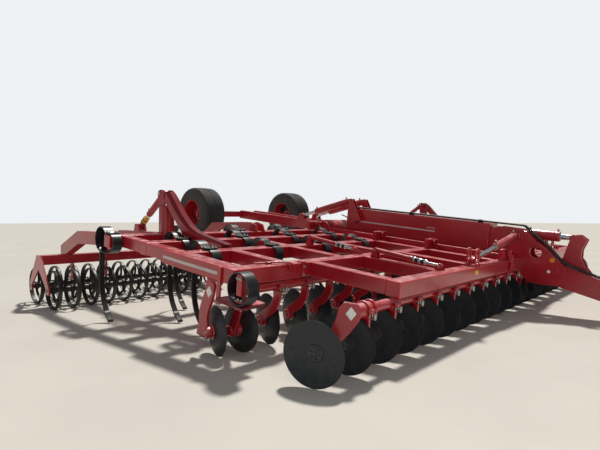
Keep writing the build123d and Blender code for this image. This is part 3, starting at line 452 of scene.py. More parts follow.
def dress(node, body, width, shift=None):
    """The node's own form with welded facets and rounded edges, which wear a little lighter."""
    source = bmesh.new()
    source.from_mesh(nodes[node].data)
    if shift:
        for v in source.verts:
            v.co = shift(v.co)
    bmesh.ops.remove_doubles(source, verts=source.verts, dist=1e-5)
    bmesh.ops.dissolve_limit(source, angle_limit=radians(1.0), verts=source.verts,
                             edges=source.edges)
    out = bmesh.new()
    for part in islands(source):
        one = bmesh.new()
        index = {v: one.verts.new(v.co) for v in part}
        for f in dict.fromkeys(f for v in part for f in v.link_faces):
            one.faces.new([index[v] for v in f.verts])
        one.normal_update()
        size = [max(v.co[k] for v in one.verts) - min(v.co[k] for v in one.verts) for k in range(3)]
        sharp = [e for e in one.edges if len(e.link_faces) == 2
                 and e.calc_face_angle(0.0) > radians(32.0)]
        bmesh.ops.bevel(one, geom=sharp, offset=min(width, 0.16 * min(size)), segments=2,
                        profile=0.5, affect="EDGES", clamp_overlap=True, material=1)
        mesh = bpy.data.meshes.new("part")
        one.to_mesh(mesh)
        one.free()
        out.from_mesh(mesh)
        bpy.data.meshes.remove(mesh)
    source.free()
    finish_piece(f"{node}_dressed", out, [red, red_edge], body, [node])


# Camera, light and floor


def aim(obj, target):
    d = Vector(target) - obj.location
    obj.rotation_euler = d.to_track_quat("-Z", "Y").to_euler()


scene = bpy.context.scene
camera = add_object("camera", bpy.data.cameras.new("camera"))
camera.location = (3.99, -6.75, 1.293)
aim(camera, camera.location + Vector((-0.6815, 0.7318, -0.0155)))
camera.data.sensor_width = 36.0
camera.data.lens = 27.06
camera.data.clip_end = 400.0
scene.camera = camera
scene.view_settings.view_transform = "Standard"

world = bpy.data.worlds.new("studio")
scene.world = world
world.use_nodes = True
tree = world.node_tree
lit = feed(tree, tree.nodes["Background"], {"Color": (0.93, 0.96, 1.0), "Strength": 0.26})
seen = add_node(tree, "Background", {"Color": (0.86, 0.88, 0.9), "Strength": 1.0})
rays = tree.nodes.new("ShaderNodeLightPath")
mix = add_node(tree, "MixShader", {0: rays.outputs["Is Camera Ray"], 1: lit.outputs[0],
                                   2: seen.outputs[0]})
feed(tree, tree.nodes["World Output"], {"Surface": mix.outputs[0]})


def add_light(name, kind, place, target, energy):
    light = add_object(name, bpy.data.lights.new(name, kind))
    light.location = place
    aim(light, target)
    light.data.energy = energy
    return light.data


sun = add_light("sun", "SUN", (-3.0, 6.0, 12.0), (0, 0, 0), 3.9)
sun.angle = radians(5.0)
sun.color = (1.0, 0.97, 0.92)
key = add_light("key", "AREA", (7.5, -8.0, 6.0), (0.5, -1.5, 0.4), 120.0)
key.shape = "DISK"
key.size = 6.0

FLOOR_HALF = 120
bm = bmesh.new()
bm.faces.new([bm.verts.new((x * FLOOR_HALF, y * FLOOR_HALF, 0))
              for x, y in ((-1, -1), (1, -1), (1, 1), (-1, 1))])
add_mesh("floor", bm, [surface("pale_floor", (0.54, 0.51, 0.46), 0.9, vary=0.93, dust_and_sheen=0.0,
                                        grain=60.0, patches=0.6)])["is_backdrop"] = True


# Frames, beams and brackets keep their form and get rounded edges

for node, width in (("main_beam", 0.014), ("centre_frame", 0.01), ("tower", 0.006),
                    ("lift_brackets", 0.004)):
    dress(node, "machine_frame", width)
dress("drawbar", "drawbar", 0.01)
dress("jack", "drawbar", 0.005)
dress("running_gear", "running_gear", 0.01)


def shorter_tube(co):
    """The front disc tube ends where the elbow of the outermost arm takes over."""
    u, w = to_frame(co.x, co.z)
    if abs(co.y) > FRONT_TUBE_END - 0.01 and abs(u - FRONT_BAR) < 0.06 and w < -0.07:
        return Vector((co.x, copysign(ELBOW_Y, co.y), co.z))
    return co


for s, side in SIDES:
    dress(f"wing_frame_{side}", f"wing_{side}", 0.01, shift=shorter_tube)
    dress(f"packer_brackets_{side}", f"wing_{side}", 0.005)
    dress(f"packer_frame_{side}", f"packer_{side}", 0.008)


# Discs


def blade_profile(radius):
    outer, inner = [], []
    for share in (0.0, 0.3, 0.55, 0.78, 0.93, 1.0):
        r = radius * share
        z = DISC_DISH * (1.0 - max(0.0, share - 0.22) ** 2 / 0.78 ** 2)
        outer.append((r, z))
        thick = 0.007 if share < 0.95 else 0.0015
        inner.append((r if share < 1.0 else r - 0.001, z - thick))
    return outer + inner[::-1]


def tube_w(r):
    return -BAR / 2 - HAIR - r


def disc_matrix(x, y, r, side, steer):
    m = turned((x, y, r), -side * steer, "Z")
    return m @ Matrix.Rotation(radians(90 * side), 4, "X")


def add_disc(bm, x, y, side, r=DISC_R, steer=DISC_STEER):
    m = disc_matrix(x, y, r, side, steer)
    add_revolve(bm, blade_profile(r), 88, m)
    back = DISC_DISH - 0.007
    # Flat cover with flush bolts in the hollow side
    add_revolve(bm, [(0, back), (0.068, back), (0.068, back - 0.005), (0.06, back - 0.008),
                     (0.026, back - 0.009), (0.022, back - 0.014), (0, back - 0.015)], 32, m, 1)
    bolt_circle(bm, m, 0.044, 6, 0.3, back - 0.0085, -1, 0.0075, 1)
    front = DISC_DISH
    add_revolve(bm, [(0, front), (0.07, front), (0.07, front + 0.008), (0.046, front + 0.014),
                     (0.044, ARM_GAP + 0.008), (0, ARM_GAP + 0.008)], 28, m, 2)
    bolt_circle(bm, m, 0.058, 6, 0.0, front + 0.008, 1, 0.006, 3)


def add_bearing(bm, x, y, side, r=DISC_R, steer=DISC_STEER):
    """Bearing housing at the arm's foot, with its cap screws."""
    m = disc_matrix(x, y, r, side, steer)
    end = ARM_GAP + ARM_THICK
    add_revolve(bm, [(0, ARM_GAP - 0.008), (0.05, ARM_GAP - 0.008), (0.053, ARM_GAP - 0.004),
                     (0.053, end + 0.008), (0.048, end + 0.014), (0.036, end + 0.022),
                     (0, end + 0.022)], 28, m)
    bolt_circle(bm, m, 0.041, 4, 0.4, end + 0.016, 1, 0.006, 1)


def frame_strap(bm, path, y, width, taper=None):
    add_strap(bm, [to_world(*p) for p in curve(path, 7)], y, width, ARM_THICK, 0, taper)


def add_arm(bm, x, y, bar_u, tube_r, side):
    hub_u, hub_w = to_frame(x, DISC_R)
    middle = y - side * (ARM_GAP + ARM_THICK / 2)
    bar_w = tube_w(tube_r)
    low = bar_w - tube_r
    frame_strap(bm, [
        (bar_u + 0.015, low - 0.001), (bar_u + 0.015, low - 0.09),
        ((bar_u + hub_u) / 2 + 0.045, (bar_w + hub_w) / 2 - 0.06),
        (hub_u + 0.015, hub_w + 0.045), (hub_u - 0.015, hub_w - 0.035),
    ], middle, ARM_WIDTH)
    # Half shell round the tube, with ears and bolts in front and behind
    r = tube_r + 0.0008
    outline = []
    for shell_r, degrees in ((r + 0.013, range(4, 177, 12)), (r, range(176, 3, -12))):
        for p in (polar(shell_r, radians(d)) for d in degrees):
            outline.append((bar_u - p.x, bar_w - p.y))
    half = 0.036
    add_prism(bm, outline, middle - half, middle + half, TILT)
    ear_w = 0.018
    for ear in (bar_u - r - 0.024, bar_u + r + 0.024):
        add_box(bm, (ear - 0.014, middle - half, bar_w - ear_w),
                (ear + 0.014, middle + half, bar_w + ear_w), TILT)
        frame_bolts(bm, [ear], (middle - 0.02, middle + 0.02), bar_w - ear_w, (0, 0, -1), 0.008,
                    stud=(0.0055, 0.028))
    # Stop that limits the arm's travel
    stop = bar_u + r + 0.006
    add_box(bm, (stop, middle + 0.04, bar_w - 0.075), (stop + 0.035, middle + 0.062, bar_w - 0.02),
            TILT, 1)
    frame_bolts(bm, [stop + 0.018], [middle + 0.0622], bar_w - 0.045, (0, 1, 0), 0.011)
    add_bearing(bm, x, y, side)


def add_slab(bm, path, normal, width, thick):
    """A plate along a path in space, square to normal; width follows the share of the path."""
    rings = []
    for i, p in enumerate(path):
        a = normal.cross(heading(path, i)).normalized() * (width(i / (len(path) - 1)) / 2)
        b, c = normal * (thick / 2), a * 0.93
        rings.append([bm.verts.new(p + q) for q in (-c - b, c - b, a - b * 0.7, a + b * 0.7,
                                                    c + b, -c + b, -a + b * 0.7, -a - b * 0.7)])
    sew(bm, rings)


def add_elbow(bm, s):
    """Broad outermost arm of the front row, from the end of its tube down to the hub."""
    bar_w = tube_w(FRONT_TUBE_R)
    start, end = (TILT @ Vector((FRONT_BAR, s * y, bar_w)) for y in (ELBOW_Y - 0.3, ELBOW_Y))
    count = len(bm.verts)
    add_rod(bm, start, end, 0.064, 32)
    bm.verts.ensure_lookup_table()
    # The tube is cut along the plane of the arm
    for v in bm.verts[count:]:
        if abs(v.co.y) > ELBOW_Y - 0.05:
            v.co.y = s * (3.932 - 0.75 * (v.co.x - 1.892))
    for q in (0.0, 0.3):
        c = start.lerp(end, q)
        add_rod(bm, c, c + Vector((0, s * 0.026, 0)), 0.08, 32, 0, 0.005)
    path = smooth_path([(x, s * y, z) for x, y, z in (
        (1.905, 3.925, 0.635), (1.895, 3.935, 0.56), (1.865, 3.965, 0.47), (1.82, 4.01, 0.375),
        (1.775, 4.07, 0.29), (1.755, 4.095, 0.235))], 5)
    normal = Vector((0.6, s * 0.8, 0))
    add_slab(bm, path, normal,
             lambda q: (0.11 + 0.075 * sin(pi * min(1.0, q * 1.9)) if q < 0.27
                        else 0.18 - 0.095 * min(1.0, (q - 0.27) / 0.5)), 0.03)
    # White square reflector standing on its corner
    add_sheet(bm, Vector((1.905, s * 3.93, 0.553)) + normal * 0.0162,
              Vector((0, 0, 1)).cross(normal), (0, 0, 1),
              rhombus(0.042, 0.054), 0.002, 2)
    add_bearing(bm, FRONT_DISC_X, s * 4.2, s)


def add_edge_arms(bm, s):
    # Arm and cross piece under the spring loop
    x, y = SPRUNG
    hub_u, hub_w = to_frame(x, EDGE_R)
    middle = y + ARM_GAP + ARM_THICK / 2 + 0.045
    top = LOOP_W - LOOP_MID_R - SPRING_THICK / 2 - HAIR
    frame_strap(bm, [(LOOP_U - 0.26, top - 0.012), (LOOP_U - 0.275, top - 0.08),
                     (LOOP_U - 0.31, (top + hub_w) / 2 - 0.02), (hub_u + 0.045, hub_w + 0.06),
                     (hub_u + 0.01, hub_w - 0.035)], s * middle, ARM_WIDTH)
    under = top - 0.035
    add_box(bm, (LOOP_U - 0.31, s * (middle - ARM_THICK / 2), under),
            (LOOP_U + 0.045, s * (LOOP_Y + LOOP_WIDTH / 2 - 0.02), top), TILT)
    frame_bolts(bm, (LOOP_U - 0.05, LOOP_U + 0.015), (s * (LOOP_Y - 0.035), s * (LOOP_Y + 0.02)),
                under, (0, 0, -1), 0.011)
    # Plate and nuts that hold the loop's foot from inside, and the nuts at its crown
    foot = LOOP_W - sqrt((LOOP_MID_R - SPRING_THICK / 2) ** 2 - 0.04 ** 2) + 0.0005
    add_box(bm, (LOOP_U - 0.04, s * (LOOP_Y - 0.05), foot),
            (LOOP_U + 0.04, s * (LOOP_Y + 0.05), foot + 0.014), TILT)
    frame_bolts(bm, (LOOP_U - 0.022, LOOP_U + 0.022), (s * (LOOP_Y - 0.03), s * (LOOP_Y + 0.03)),
                foot + 0.014, (0, 0, 1), 0.011, stud=(0.006, 0.022))
    frame_bolts(bm, (LOOP_U - 0.02, LOOP_U + 0.02), [s * (LOOP_Y + 0.0495)], LOOP_W + 0.09,
                (0, s, 0), 0.011)
    add_bearing(bm, x, s * (y + 0.045), -s, EDGE_R, SPRUNG_STEER)
    # Rigid arm under its hanger, with a broad foot
    x, y = RIGID
    hub_u, hub_w = to_frame(x, EDGE_R)
    top = BAR / 2 - 0.14 - 0.0006 - 0.016
    frame_strap(bm, [
        (RIGID_HANGER_U + 0.003, top - 0.001), (RIGID_HANGER_U - 0.006, top - 0.04),
        (RIGID_HANGER_U - 0.022, top - 0.13), (RIGID_HANGER_U - 0.085, (top + hub_w) / 2 - 0.06),
        (hub_u - 0.095, hub_w + 0.05), (hub_u - 0.105, hub_w - 0.06),
    ], s * (y + ARM_GAP + ARM_THICK / 2), ARM_WIDTH * 1.35,
        lambda q: (0.72 + 0.28 * min(1.0, q / 0.14) + 0.3 * max(0.0, q - 0.72) / 0.28, 1.0))
    add_bearing(bm, x, s * y, -s, EDGE_R)
    # Upright plate with two bolts on the middle bar, beside the outermost front rail
    y, face = s * 3.4, MIDDLE_BAR + BAR / 2
    add_box(bm, (face + 0.0005, y - 0.028, -0.07), (face + 0.0135, y + 0.028, 0.085), TILT)
    add_box(bm, (MIDDLE_BAR + 0.01, y - 0.028, BAR / 2 + 0.0005),
            (face + 0.013, y + 0.028, BAR / 2 + 0.01), TILT)
    for w in (-0.045, 0.035):
        frame_bolts(bm, [face + 0.0135], [y], w, (1, 0, 0), 0.012)


def disc_rows(ks_front, ks_rear, s, discs, arms):
    for k in ks_front:
        y = s * (DISC_PITCH / 2 + DISC_PITCH * k)
        add_disc(discs, FRONT_DISC_X, y, s)
        if k == DISCS:
            add_elbow(arms, s)
        else:
            add_arm(arms, FRONT_DISC_X, y, FRONT_BAR, FRONT_TUBE_R, s)
    for k in ks_rear:
        y = s * DISC_PITCH * k
        add_disc(discs, REAR_DISC_X, y, -s)
        add_arm(arms, REAR_DISC_X, y, MIDDLE_BAR, MIDDLE_TUBE_R, -s)


BLADES = [blade_steel, hub_black, red, zinc]
discs, arms = bmesh.new(), bmesh.new()
disc_rows([0], [1], 1, discs, arms)
disc_rows([0], [0, 1], -1, discs, arms)
finish_piece("centre_blades", discs, BLADES, "machine_frame", ["centre_discs"])
finish_piece("centre_arms", arms, [red, zinc], "machine_frame", ["centre_disc_arms"])
for s, side in SIDES:
    discs, arms = bmesh.new(), bmesh.new()
    disc_rows(range(1, DISCS + 1), range(2, DISCS), s, discs, arms)
    add_disc(discs, SPRUNG[0], s * SPRUNG[1], -s, EDGE_R, SPRUNG_STEER)
    add_disc(discs, RIGID[0], s * RIGID[1], -s, EDGE_R)
    add_edge_arms(arms, s)
    finish_piece(f"wing_blades_{side}", discs, BLADES, f"wing_{side}",
                 [f"wing_discs_{side}"])
    finish_piece(f"wing_arms_{side}", arms, [red, zinc, white], f"wing_{side}",
                 [f"wing_disc_arms_{side}"])


# Tines


def tine_paths(u_bar):
    lift = BAR / 2 + HAIR + SPRING_THICK / 2
    band = [(-0.01, lift), (0.04, lift), (0.085, lift), (0.13, 0.045), (0.15, -0.005),
            (0.135, -0.07), (0.075, -0.125), (0, -LOOP_R), (LOOP_BACK / 2, -LOOP_R)]
    band += [(LOOP_BACK + LOOP_R * cos(radians(d)), LOOP_R * sin(radians(d)))
             for d in range(-90, -271, -20)]
    band += [(-0.135, 0.135), (-0.085, 0.098), (-0.055, lift), (-0.025, lift)]
    deep = to_frame(to_world(u_bar + 0.05, -0.9)[0], 0.02)[1]
    shank = [(LOOP_BACK - 0.075, -0.13), (LOOP_BACK - 0.065, -0.185)]
    shank += [(back, deep * share) for share, back in
              ((0.42, -0.262), (0.6, -0.235), (0.78, -0.165), (0.92, -0.05))] + [(0.05, deep)]
    return [[to_world(u_bar + a, b) for a, b in curve(points, steps)]
            for points, steps in ((band, 3), (shank, 5))]


def add_tine(bm, u_bar, y):
    band, shank = tine_paths(u_bar)
    add_strap(bm, band, y, SPRING_THICK, SPRING_WIDTH)
    add_strap(bm, shank, y, SHANK_THICK, SHANK_WIDTH)
    # Narrow point bolted on the front of the shank's lower end
    tip = shank[int(len(shank) * 0.8):]
    add_strap(bm, tip, y, SHANK_THICK + 0.006, SHANK_WIDTH + 0.006, 1,
              lambda q: (1.0 - 0.5 * q, 1.0 - 0.2 * q * q))
    top = BAR / 2 + SPRING_THICK + 0.0005
    add_box(bm, (u_bar - 0.05, y - 0.072, top), (u_bar + 0.045, y + 0.072, top + 0.016), TILT)
    frame_bolts(bm, (u_bar - 0.032, u_bar + 0.027), (y - 0.052, y + 0.052), top + 0.016, (0, 0, 1),
                0.011, 2, (0.006, 0.018))
    # Bolts that join the shank to the band's foot
    frame_bolts(bm, [u_bar + LOOP_BACK - 0.082], (y - 0.018, y + 0.018), -0.145, (-0.86, 0, -0.5),
                0.008, 2)


for s, side in SIDES:
    bm = bmesh.new()
    for u_bar, ys in TINE_ROWS:
        for y in ys:
            add_tine(bm, u_bar, s * y)
    # Flat spring loop of the sprung edge disc
    m = TILT @ turned((LOOP_U, s * LOOP_Y, LOOP_W), radians(90), "X")
    h, a, b = LOOP_WIDTH / 2, LOOP_MID_R - SPRING_THICK / 2, LOOP_MID_R + SPRING_THICK / 2
    e = 0.003
    add_revolve(bm, [(b - e, -h), (b, -h + e), (b, h - e), (b - e, h), (a + e, h), (a, h - e),
                     (a, -h + e), (a + e, -h)], 72, m)
    finish_piece(f"tines_{side}", bm, [spring_steel, point_steel, zinc], f"wing_{side}",
                 [f"wing_tines_{side}"])
bm = bmesh.new()
for y in (-0.272, 0.272):
    add_tine(bm, TINE_ROWS[0][0], y)
finish_piece("tines_centre", bm, [spring_steel, point_steel, zinc], "machine_frame",
             ["centre_tines"])


# Ring packers


def add_ring(bm, x, y):
    m = turned((x, y, PACKER_R), radians(90), "X")
    h, r = RING_WIDTH / 2, PACKER_R
    add_revolve(bm, [(r, -h * 0.45), (r, h * 0.45), (r - 0.005, h * 0.85), (r - 0.011, h),
                     (r - 0.016, h * 0.8), (r - 0.016, -h * 0.8), (r - 0.011, -h),
                     (r - 0.005, -h * 0.85)], 44, m)
    add_revolve(bm, [(0.048, -0.028), (0.056, -0.022), (0.056, 0.022), (0.048, 0.028),
                     (0.041, 0.028), (0.041, -0.028)], 24, m)
    # Three curved spokes
    for k in range(3):
        a = tau * k / 3 + 0.3
        path = []
        for share in (i / 7 for i in range(8)):
            p = polar(0.052 + (r - 0.07) * share, a + 0.9 * sin(share * pi * 0.5))
            path.append((x + p.x, PACKER_R + p.y))
        add_strap(bm, path, y, 0.014, 0.036)


for s, side in SIDES:
    for which, x in AXLES.items():
        bm = bmesh.new()
        low, high = PACKER_IN + 0.026, PACKER_OUT - 0.026
        step = (high - low - 0.12) / (RINGS - 1)
        for i in range(RINGS):
            add_ring(bm, x, s * (low + 0.06 + step * i))
        add_rod(bm, (x, s * low, PACKER_R), (x, s * high, PACKER_R), 0.04)
        add_rod(bm, (x, s * (low - 0.026), PACKER_R), (x, s * (high + 0.026), PACKER_R), 0.03)
        finish_piece(f"ring_roller_{which}_{side}", bm, [ring_steel], f"roller_{which}_{side}",
                     [f"packer_roller_{which}_{side}"])


# Wheels


def tyre_profile():
    """Half section from the bead over the shoulder, with round grooves in the tread."""
    h, r, q = TYRE_HALF, TYRE_R, RIM_R
    half = [(q, h - 0.012), (q + 0.016, h - 0.006), (q + 0.022, h - 0.01), (q + 0.045, h - 0.004),
            (q + 0.085, h - 0.0005), (q + 0.09, h), (q + 0.1, h), (q + 0.105, h - 0.001),
            (q + 0.15, h - 0.002), (r - 0.075, h - 0.008), (r - 0.05, h - 0.02),
            (r - 0.028, h - 0.036), (r - 0.02, h - 0.04), (r - 0.02, h - 0.044),
            (r - 0.013, h - 0.046)]
    for y in (0.168, 0.132, 0.096, 0.06, 0.024):
        crown = r - 0.006 * (y / 0.2) ** 2
        half += [(crown - 0.001, y + 0.015), (crown, y + 0.012), (crown, y - 0.008),
                 (crown - 0.001, y - 0.011), (crown - 0.011, y - 0.014), (crown - 0.011, y - 0.018)]
    return half + [(a, -b) for a, b in half[::-1]]


for s, side in SIDES:
    place = turned((WHEEL.x, s * WHEEL.y, WHEEL.z), radians(-90 * s), "X")
    bm = bmesh.new()
    add_revolve(bm, tyre_profile(), 128, place)
    for f in bm.faces:
        c = f.calc_center_median()
        if hypot(c.x - WHEEL.x, c.z - WHEEL.z) < TYRE_R - 0.024:
            f.material_index = 1
    finish_piece(f"implement_tyre_{side}", bm, [rubber, sidewall], f"wheel_{side}",
                 [f"tyre_{side}"])
    bm = bmesh.new()
    q, h = RIM_R, TYRE_HALF - 0.008
    add_revolve(bm, [(q - HAIR, -h), (q - HAIR, -h + 0.02), (q - 0.02, -h + 0.05),
                     (q - 0.02, h - 0.05), (q - HAIR, h - 0.02), (q - HAIR, h),
                     (q - 0.012, h), (q - 0.032, h - 0.055), (q - 0.032, -h + 0.055),
                     (q - 0.012, -h)], 64, place)
    # Black cone behind the dish is painted shade: a dark sheet that darkens the rim's recess seen
    # through the hand holes.
    add_revolve(bm, [(q - 0.0328, -0.03), (0.115, -0.06), (0.115, -0.064), (q - 0.0328, -0.034)],
                48, place, 2)
    # Dished centre with round hand holes
    count = 64
    rows = []
    for r in (0.085, 0.11, 0.135, 0.16, 0.19, 0.215, q - 0.031):
        z = 0.055 - 0.045 * ((r - 0.085) / (q - 0.116))
        rows.append([bm.verts.new(place @ polar(r, tau * i / count, z))
                     for i in range(count)])
    dish = []
    for k, (a, b) in enumerate(zip(rows, rows[1:])):
        for i in range(count):
            hand_hole = k in (3, 4) and i % 8 in (2, 3, 4)
            if not hand_hole:
                j = (i + 1) % count
                dish.append(bm.faces.new((a[i], b[i], b[j], a[j])))
    bmesh.ops.delete(bm, geom=[v for row in rows for v in row if not v.link_faces], context="VERTS")
    back = bmesh.ops.extrude_face_region(bm, geom=dish)["geom"]
    bmesh.ops.translate(bm, verts=[v for v in back if isinstance(v, bmesh.types.BMVert)],
                        vec=place.to_3x3() @ Vector((0, 0, -0.012)))
    add_revolve(bm, [(0.041, -0.07), (0.11, -0.07), (0.11, -0.03), (0.088, -0.01), (0.088, 0.045),
                     (0.11, 0.05), (0.11, 0.06), (0.075, 0.07), (0.041, 0.07)], 40, place)
    add_revolve(bm, [(0, 0.062), (0.06, 0.062), (0.06, 0.1), (0.045, 0.115), (0, 0.118)], 32, place)
    bolt_circle(bm, place, 0.095, 8, 0.0, 0.058, 1, 0.013, 1)
    finish_piece(f"rim_{side}", bm, [red, zinc, hub_black], f"wheel_{side}",
                 [f"wheel_rim_{side}"])


# Hydraulic cylinders


def hydraulic(tag, base, tip, axis, width, barrel_r, rod_r, pins, barrel_end, rod_start, play,
              bodies, replaced, integral_pin=0.0, clips=()):
    base, tip, axis = Vector(base), Vector(tip), Vector(axis).normalized()
    way = (tip - base).normalized()
    length = (tip - base).length
    up = axis.cross(way)
    if up.z < 0:
        up = -up
    head = pins[0] + 0.04

    def at(distance, lift=0.0):
        return base + way * distance + up * lift

    def ring(bm, start, end, r, hollow, mat):
        add_rod(bm, at(start), at(end), r, 36, mat, 0.003, hollow)

    def eye(bm, point, r, hollow):
        half = axis * (width / 2)
        add_rod(bm, point - half, point + half, r, 36, 0, 0.002, hollow)

    barrel = bmesh.new()
    mouth = barrel_end - head - 0.07
    add_revolve(barrel, [(0, 0), (barrel_r * 0.7, 0), (barrel_r - 0.004, 0.006), (barrel_r, 0.012),
                         (barrel_r, mouth - 0.005), (barrel_r * 0.99, mouth),
                         (rod_r + 0.003, mouth), (rod_r + 0.003, 0.02), (0, 0.02)],
                40, across(at(head), way))
    ring(barrel, barrel_end - 0.07, barrel_end - 0.006, barrel_r * 0.98, rod_r + 0.002, 0)
    ring(barrel, barrel_end - 0.006, barrel_end, rod_r + 0.012, rod_r + 0.001, 1)
    add_rod(barrel, at(pins[0] + 0.004), at(head + 0.004), min(barrel_r * 0.55, width / 2), 28)
    eye(barrel, base, pins[0] + 0.018, pins[0] + HAIR)
    for where in (head + 0.035, barrel_end - 0.035):
        add_rod(barrel, at(where, barrel_r * 0.9), at(where, barrel_r + 0.016), 0.013, 16)
        add_rod(barrel, at(where, barrel_r + 0.015), at(where, barrel_r + 0.034), 0.01, 6, 1)
    finish_piece(f"{tag}_barrel_dressed", barrel, [red, zinc], bodies[0], replaced[:1])

    rod = bmesh.new()
    bore = pins[1] + play
    end = length - bore - 0.004
    add_rod(rod, at(rod_start), at(end - 0.02), rod_r, 32, 1)
    add_rod(rod, at(end - 0.045), at(end + 0.012), min(rod_r * 1.35, width / 2), 28)
    eye(rod, tip, bore + 0.018, 0.0 if integral_pin else bore)
    if integral_pin:
        add_rod(rod, tip - axis * integral_pin, tip + axis * integral_pin, pins[1], 24, 2)
    for start, end, mat in clips:
        ring(rod, start, end, rod_r + 0.018, rod_r + 0.0005, mat)
    finish_piece(f"{tag}_rod_dressed", rod, [red, chrome, zinc, yellow, rubber], bodies[1],
                 replaced[1:])


hydraulic("drawbar_lift", (1.96, 0, 1.08), (2.63, 0, 1.03), (0, 1, 0), 0.08, 0.07, 0.038,
          (0.03, 0.025), 0.485, 0.18, 0.004, ("drawbar_barrel", "drawbar_rod"),
          ("drawbar_cylinder_barrel", "drawbar_cylinder_rod"))
for s, side in SIDES:
    y = s * 3.56
    hydraulic(f"packer_depth_{side}", (-1.455, y, 1.62), (-2.13, y, 1.165), (0, 1, 0), 0.06, 0.045,
              0.025, (0.022, 0.02), 0.505, 0.13, 0.002,
              (f"packer_{side}_barrel", f"packer_{side}_rod"),
              (f"packer_cylinder_barrel_{side}", f"packer_cylinder_rod_{side}"),
              clips=((0.575, 0.612, 3), (0.613, 0.634, 4), (0.635, 0.672, 3), (0.673, 0.7, 4)))
    bx, bz = to_world(FRONT_BAR, 0.39)
    tx, tz = to_world(FRONT_BAR, 0.14)
    hydraulic(f"fold_{side}", (bx, s * 0.175, bz), (tx, s * 1.6, tz),
              (cos(PITCH), 0, -sin(PITCH)), 0.06, 0.05, 0.028, (0.025, 0.02), 0.765,
              0.665, 0.0, (f"fold_{side}_barrel", f"fold_{side}_rod"),
              (f"fold_cylinder_barrel_{side}", f"fold_cylinder_rod_{side}"), 0.06)
for s, side in SIDES:
    y = s * 0.205
    hydraulic(f"lift_{side}", (-0.85, y, 1.6), (-2.035, y, 1.34), (0, 1, 0), 0.054, 0.06, 0.032,
              (0.022, 0.022), 0.85, 0.3, 0.011, ("lift_barrels", "lift_rods"),
              ("lift_cylinder_barrels", "lift_cylinder_rods") if s > 0 else ())


# Masts of the packers: a rear leg, and a front leg that sweeps forward along the rail

MAST_Y, MAST_PIN = 3.56, (-1.455, 1.62)


def on_rail(x):
    """The point (x, z) just above the top of the rail."""
    return x, FRAME_HEIGHT - x * tan(PITCH) + (BAR / 2 + 0.001) / cos(PITCH)


def add_mast(bm, s):
    outer = curve([(-1.43, 1.668), (-1.36, 1.655), (-1.25, 1.565), (-1.12, 1.42), (-0.98, 1.285),
                   (-0.84, 1.18), (-0.7, 1.118), (-0.54, 1.078), (-0.34, 1.036), (-0.12, 0.99)], 4)
    low, high = s * MAST_Y - 0.075, s * MAST_Y + 0.075
    front = [p for p in outer if p[0] > -1.34]
    add_prism(bm, front + [on_rail(-0.12), on_rail(-0.9), (-0.94, 1.135), (-1.04, 1.215),
                           (-1.17, 1.335), (-1.3, 1.475), (-1.355, 1.55)], low, high)
    add_prism(bm, [(-1.345, 1.46), on_rail(-1.345), on_rail(-1.485), (-1.475, 1.46)], low, high)
    for e in (-1, 1):
        add_prism(bm, [(-1.475, 1.455), (-1.507, 1.6), (-1.49, 1.655), (-1.43, 1.668),
                       (-1.36, 1.655), (-1.325, 1.6), (-1.345, 1.455)],
                  s * MAST_Y + e * 0.053, s * MAST_Y + e * 0.075)
    pin = Vector((MAST_PIN[0], s * MAST_Y, MAST_PIN[1]))
    add_rod(bm, pin - Vector((0, 0.088, 0)), pin + Vector((0, 0.088, 0)), 0.0215, mat=1)


for s, side in SIDES:
    bm = bmesh.new()
    add_mast(bm, s)
    finish_piece(f"mast_{side}", bm, [red, zinc], f"wing_{side}",
                 [f"packer_mast_{side}"])
    # Short hangers with cross bars between the rings
    bm = bmesh.new()
    for y in (4.0925, 3.584, 2.057):
        add_box(bm, (-3.28, s * y - 0.01, 0.395), (-3.18, s * y + 0.01, 0.611))
        add_box(bm, (-3.4, s * y - 0.016, 0.375), (-3.06, s * y + 0.016, 0.405))
        for x in (-3.26, -3.2):
            add_bolt(bm, (x, s * (y + 0.01), 0.57), (0, s, 0), 0.01, 1)
    finish_piece(f"packer_hangers_{side}", bm, [red, zinc], f"packer_{side}",
                 bevel=0.003)
    # Thin pipes that bend over the middle bar beside the outermost rail
    bm = bmesh.new()
    for y in (3.62, 3.67):
        m = TILT @ Matrix.Translation((MIDDLE_BAR, s * y, BAR / 2 + 0.012))
        pts = [(-0.05, 0.3, 0), (-0.02, 0.16, 0), (0.03, 0.05, 0.01), (0.092, -0.04, -0.01),
               (0.095, -0.07, -0.07)]
        add_tube(bm, smooth_path([m @ Vector((a, s * b, c)) for a, b, c in pts]), 0.008, 12)
        add_box(bm, (MIDDLE_BAR - 0.035, s * (y + 0.15), BAR / 2 + 0.0004),
                (MIDDLE_BAR - 0.005, s * (y + 0.17), BAR / 2 + 0.024), TILT)
    finish_piece(f"corner_pipes_{side}", bm, [red], f"wing_{side}")


# Hoses


def add_clip(bm, matrix, low, high):
    """Plates under and over a bundle of hoses that runs along local X."""
    add_box(bm, (-0.025, low, -HOSE_R - 0.012), (0.025, high, -HOSE_R - HAIR), matrix, 1)
    add_box(bm, (-0.02, low, HOSE_R + 0.0005), (0.02, high, HOSE_R + 0.005), matrix, 1)


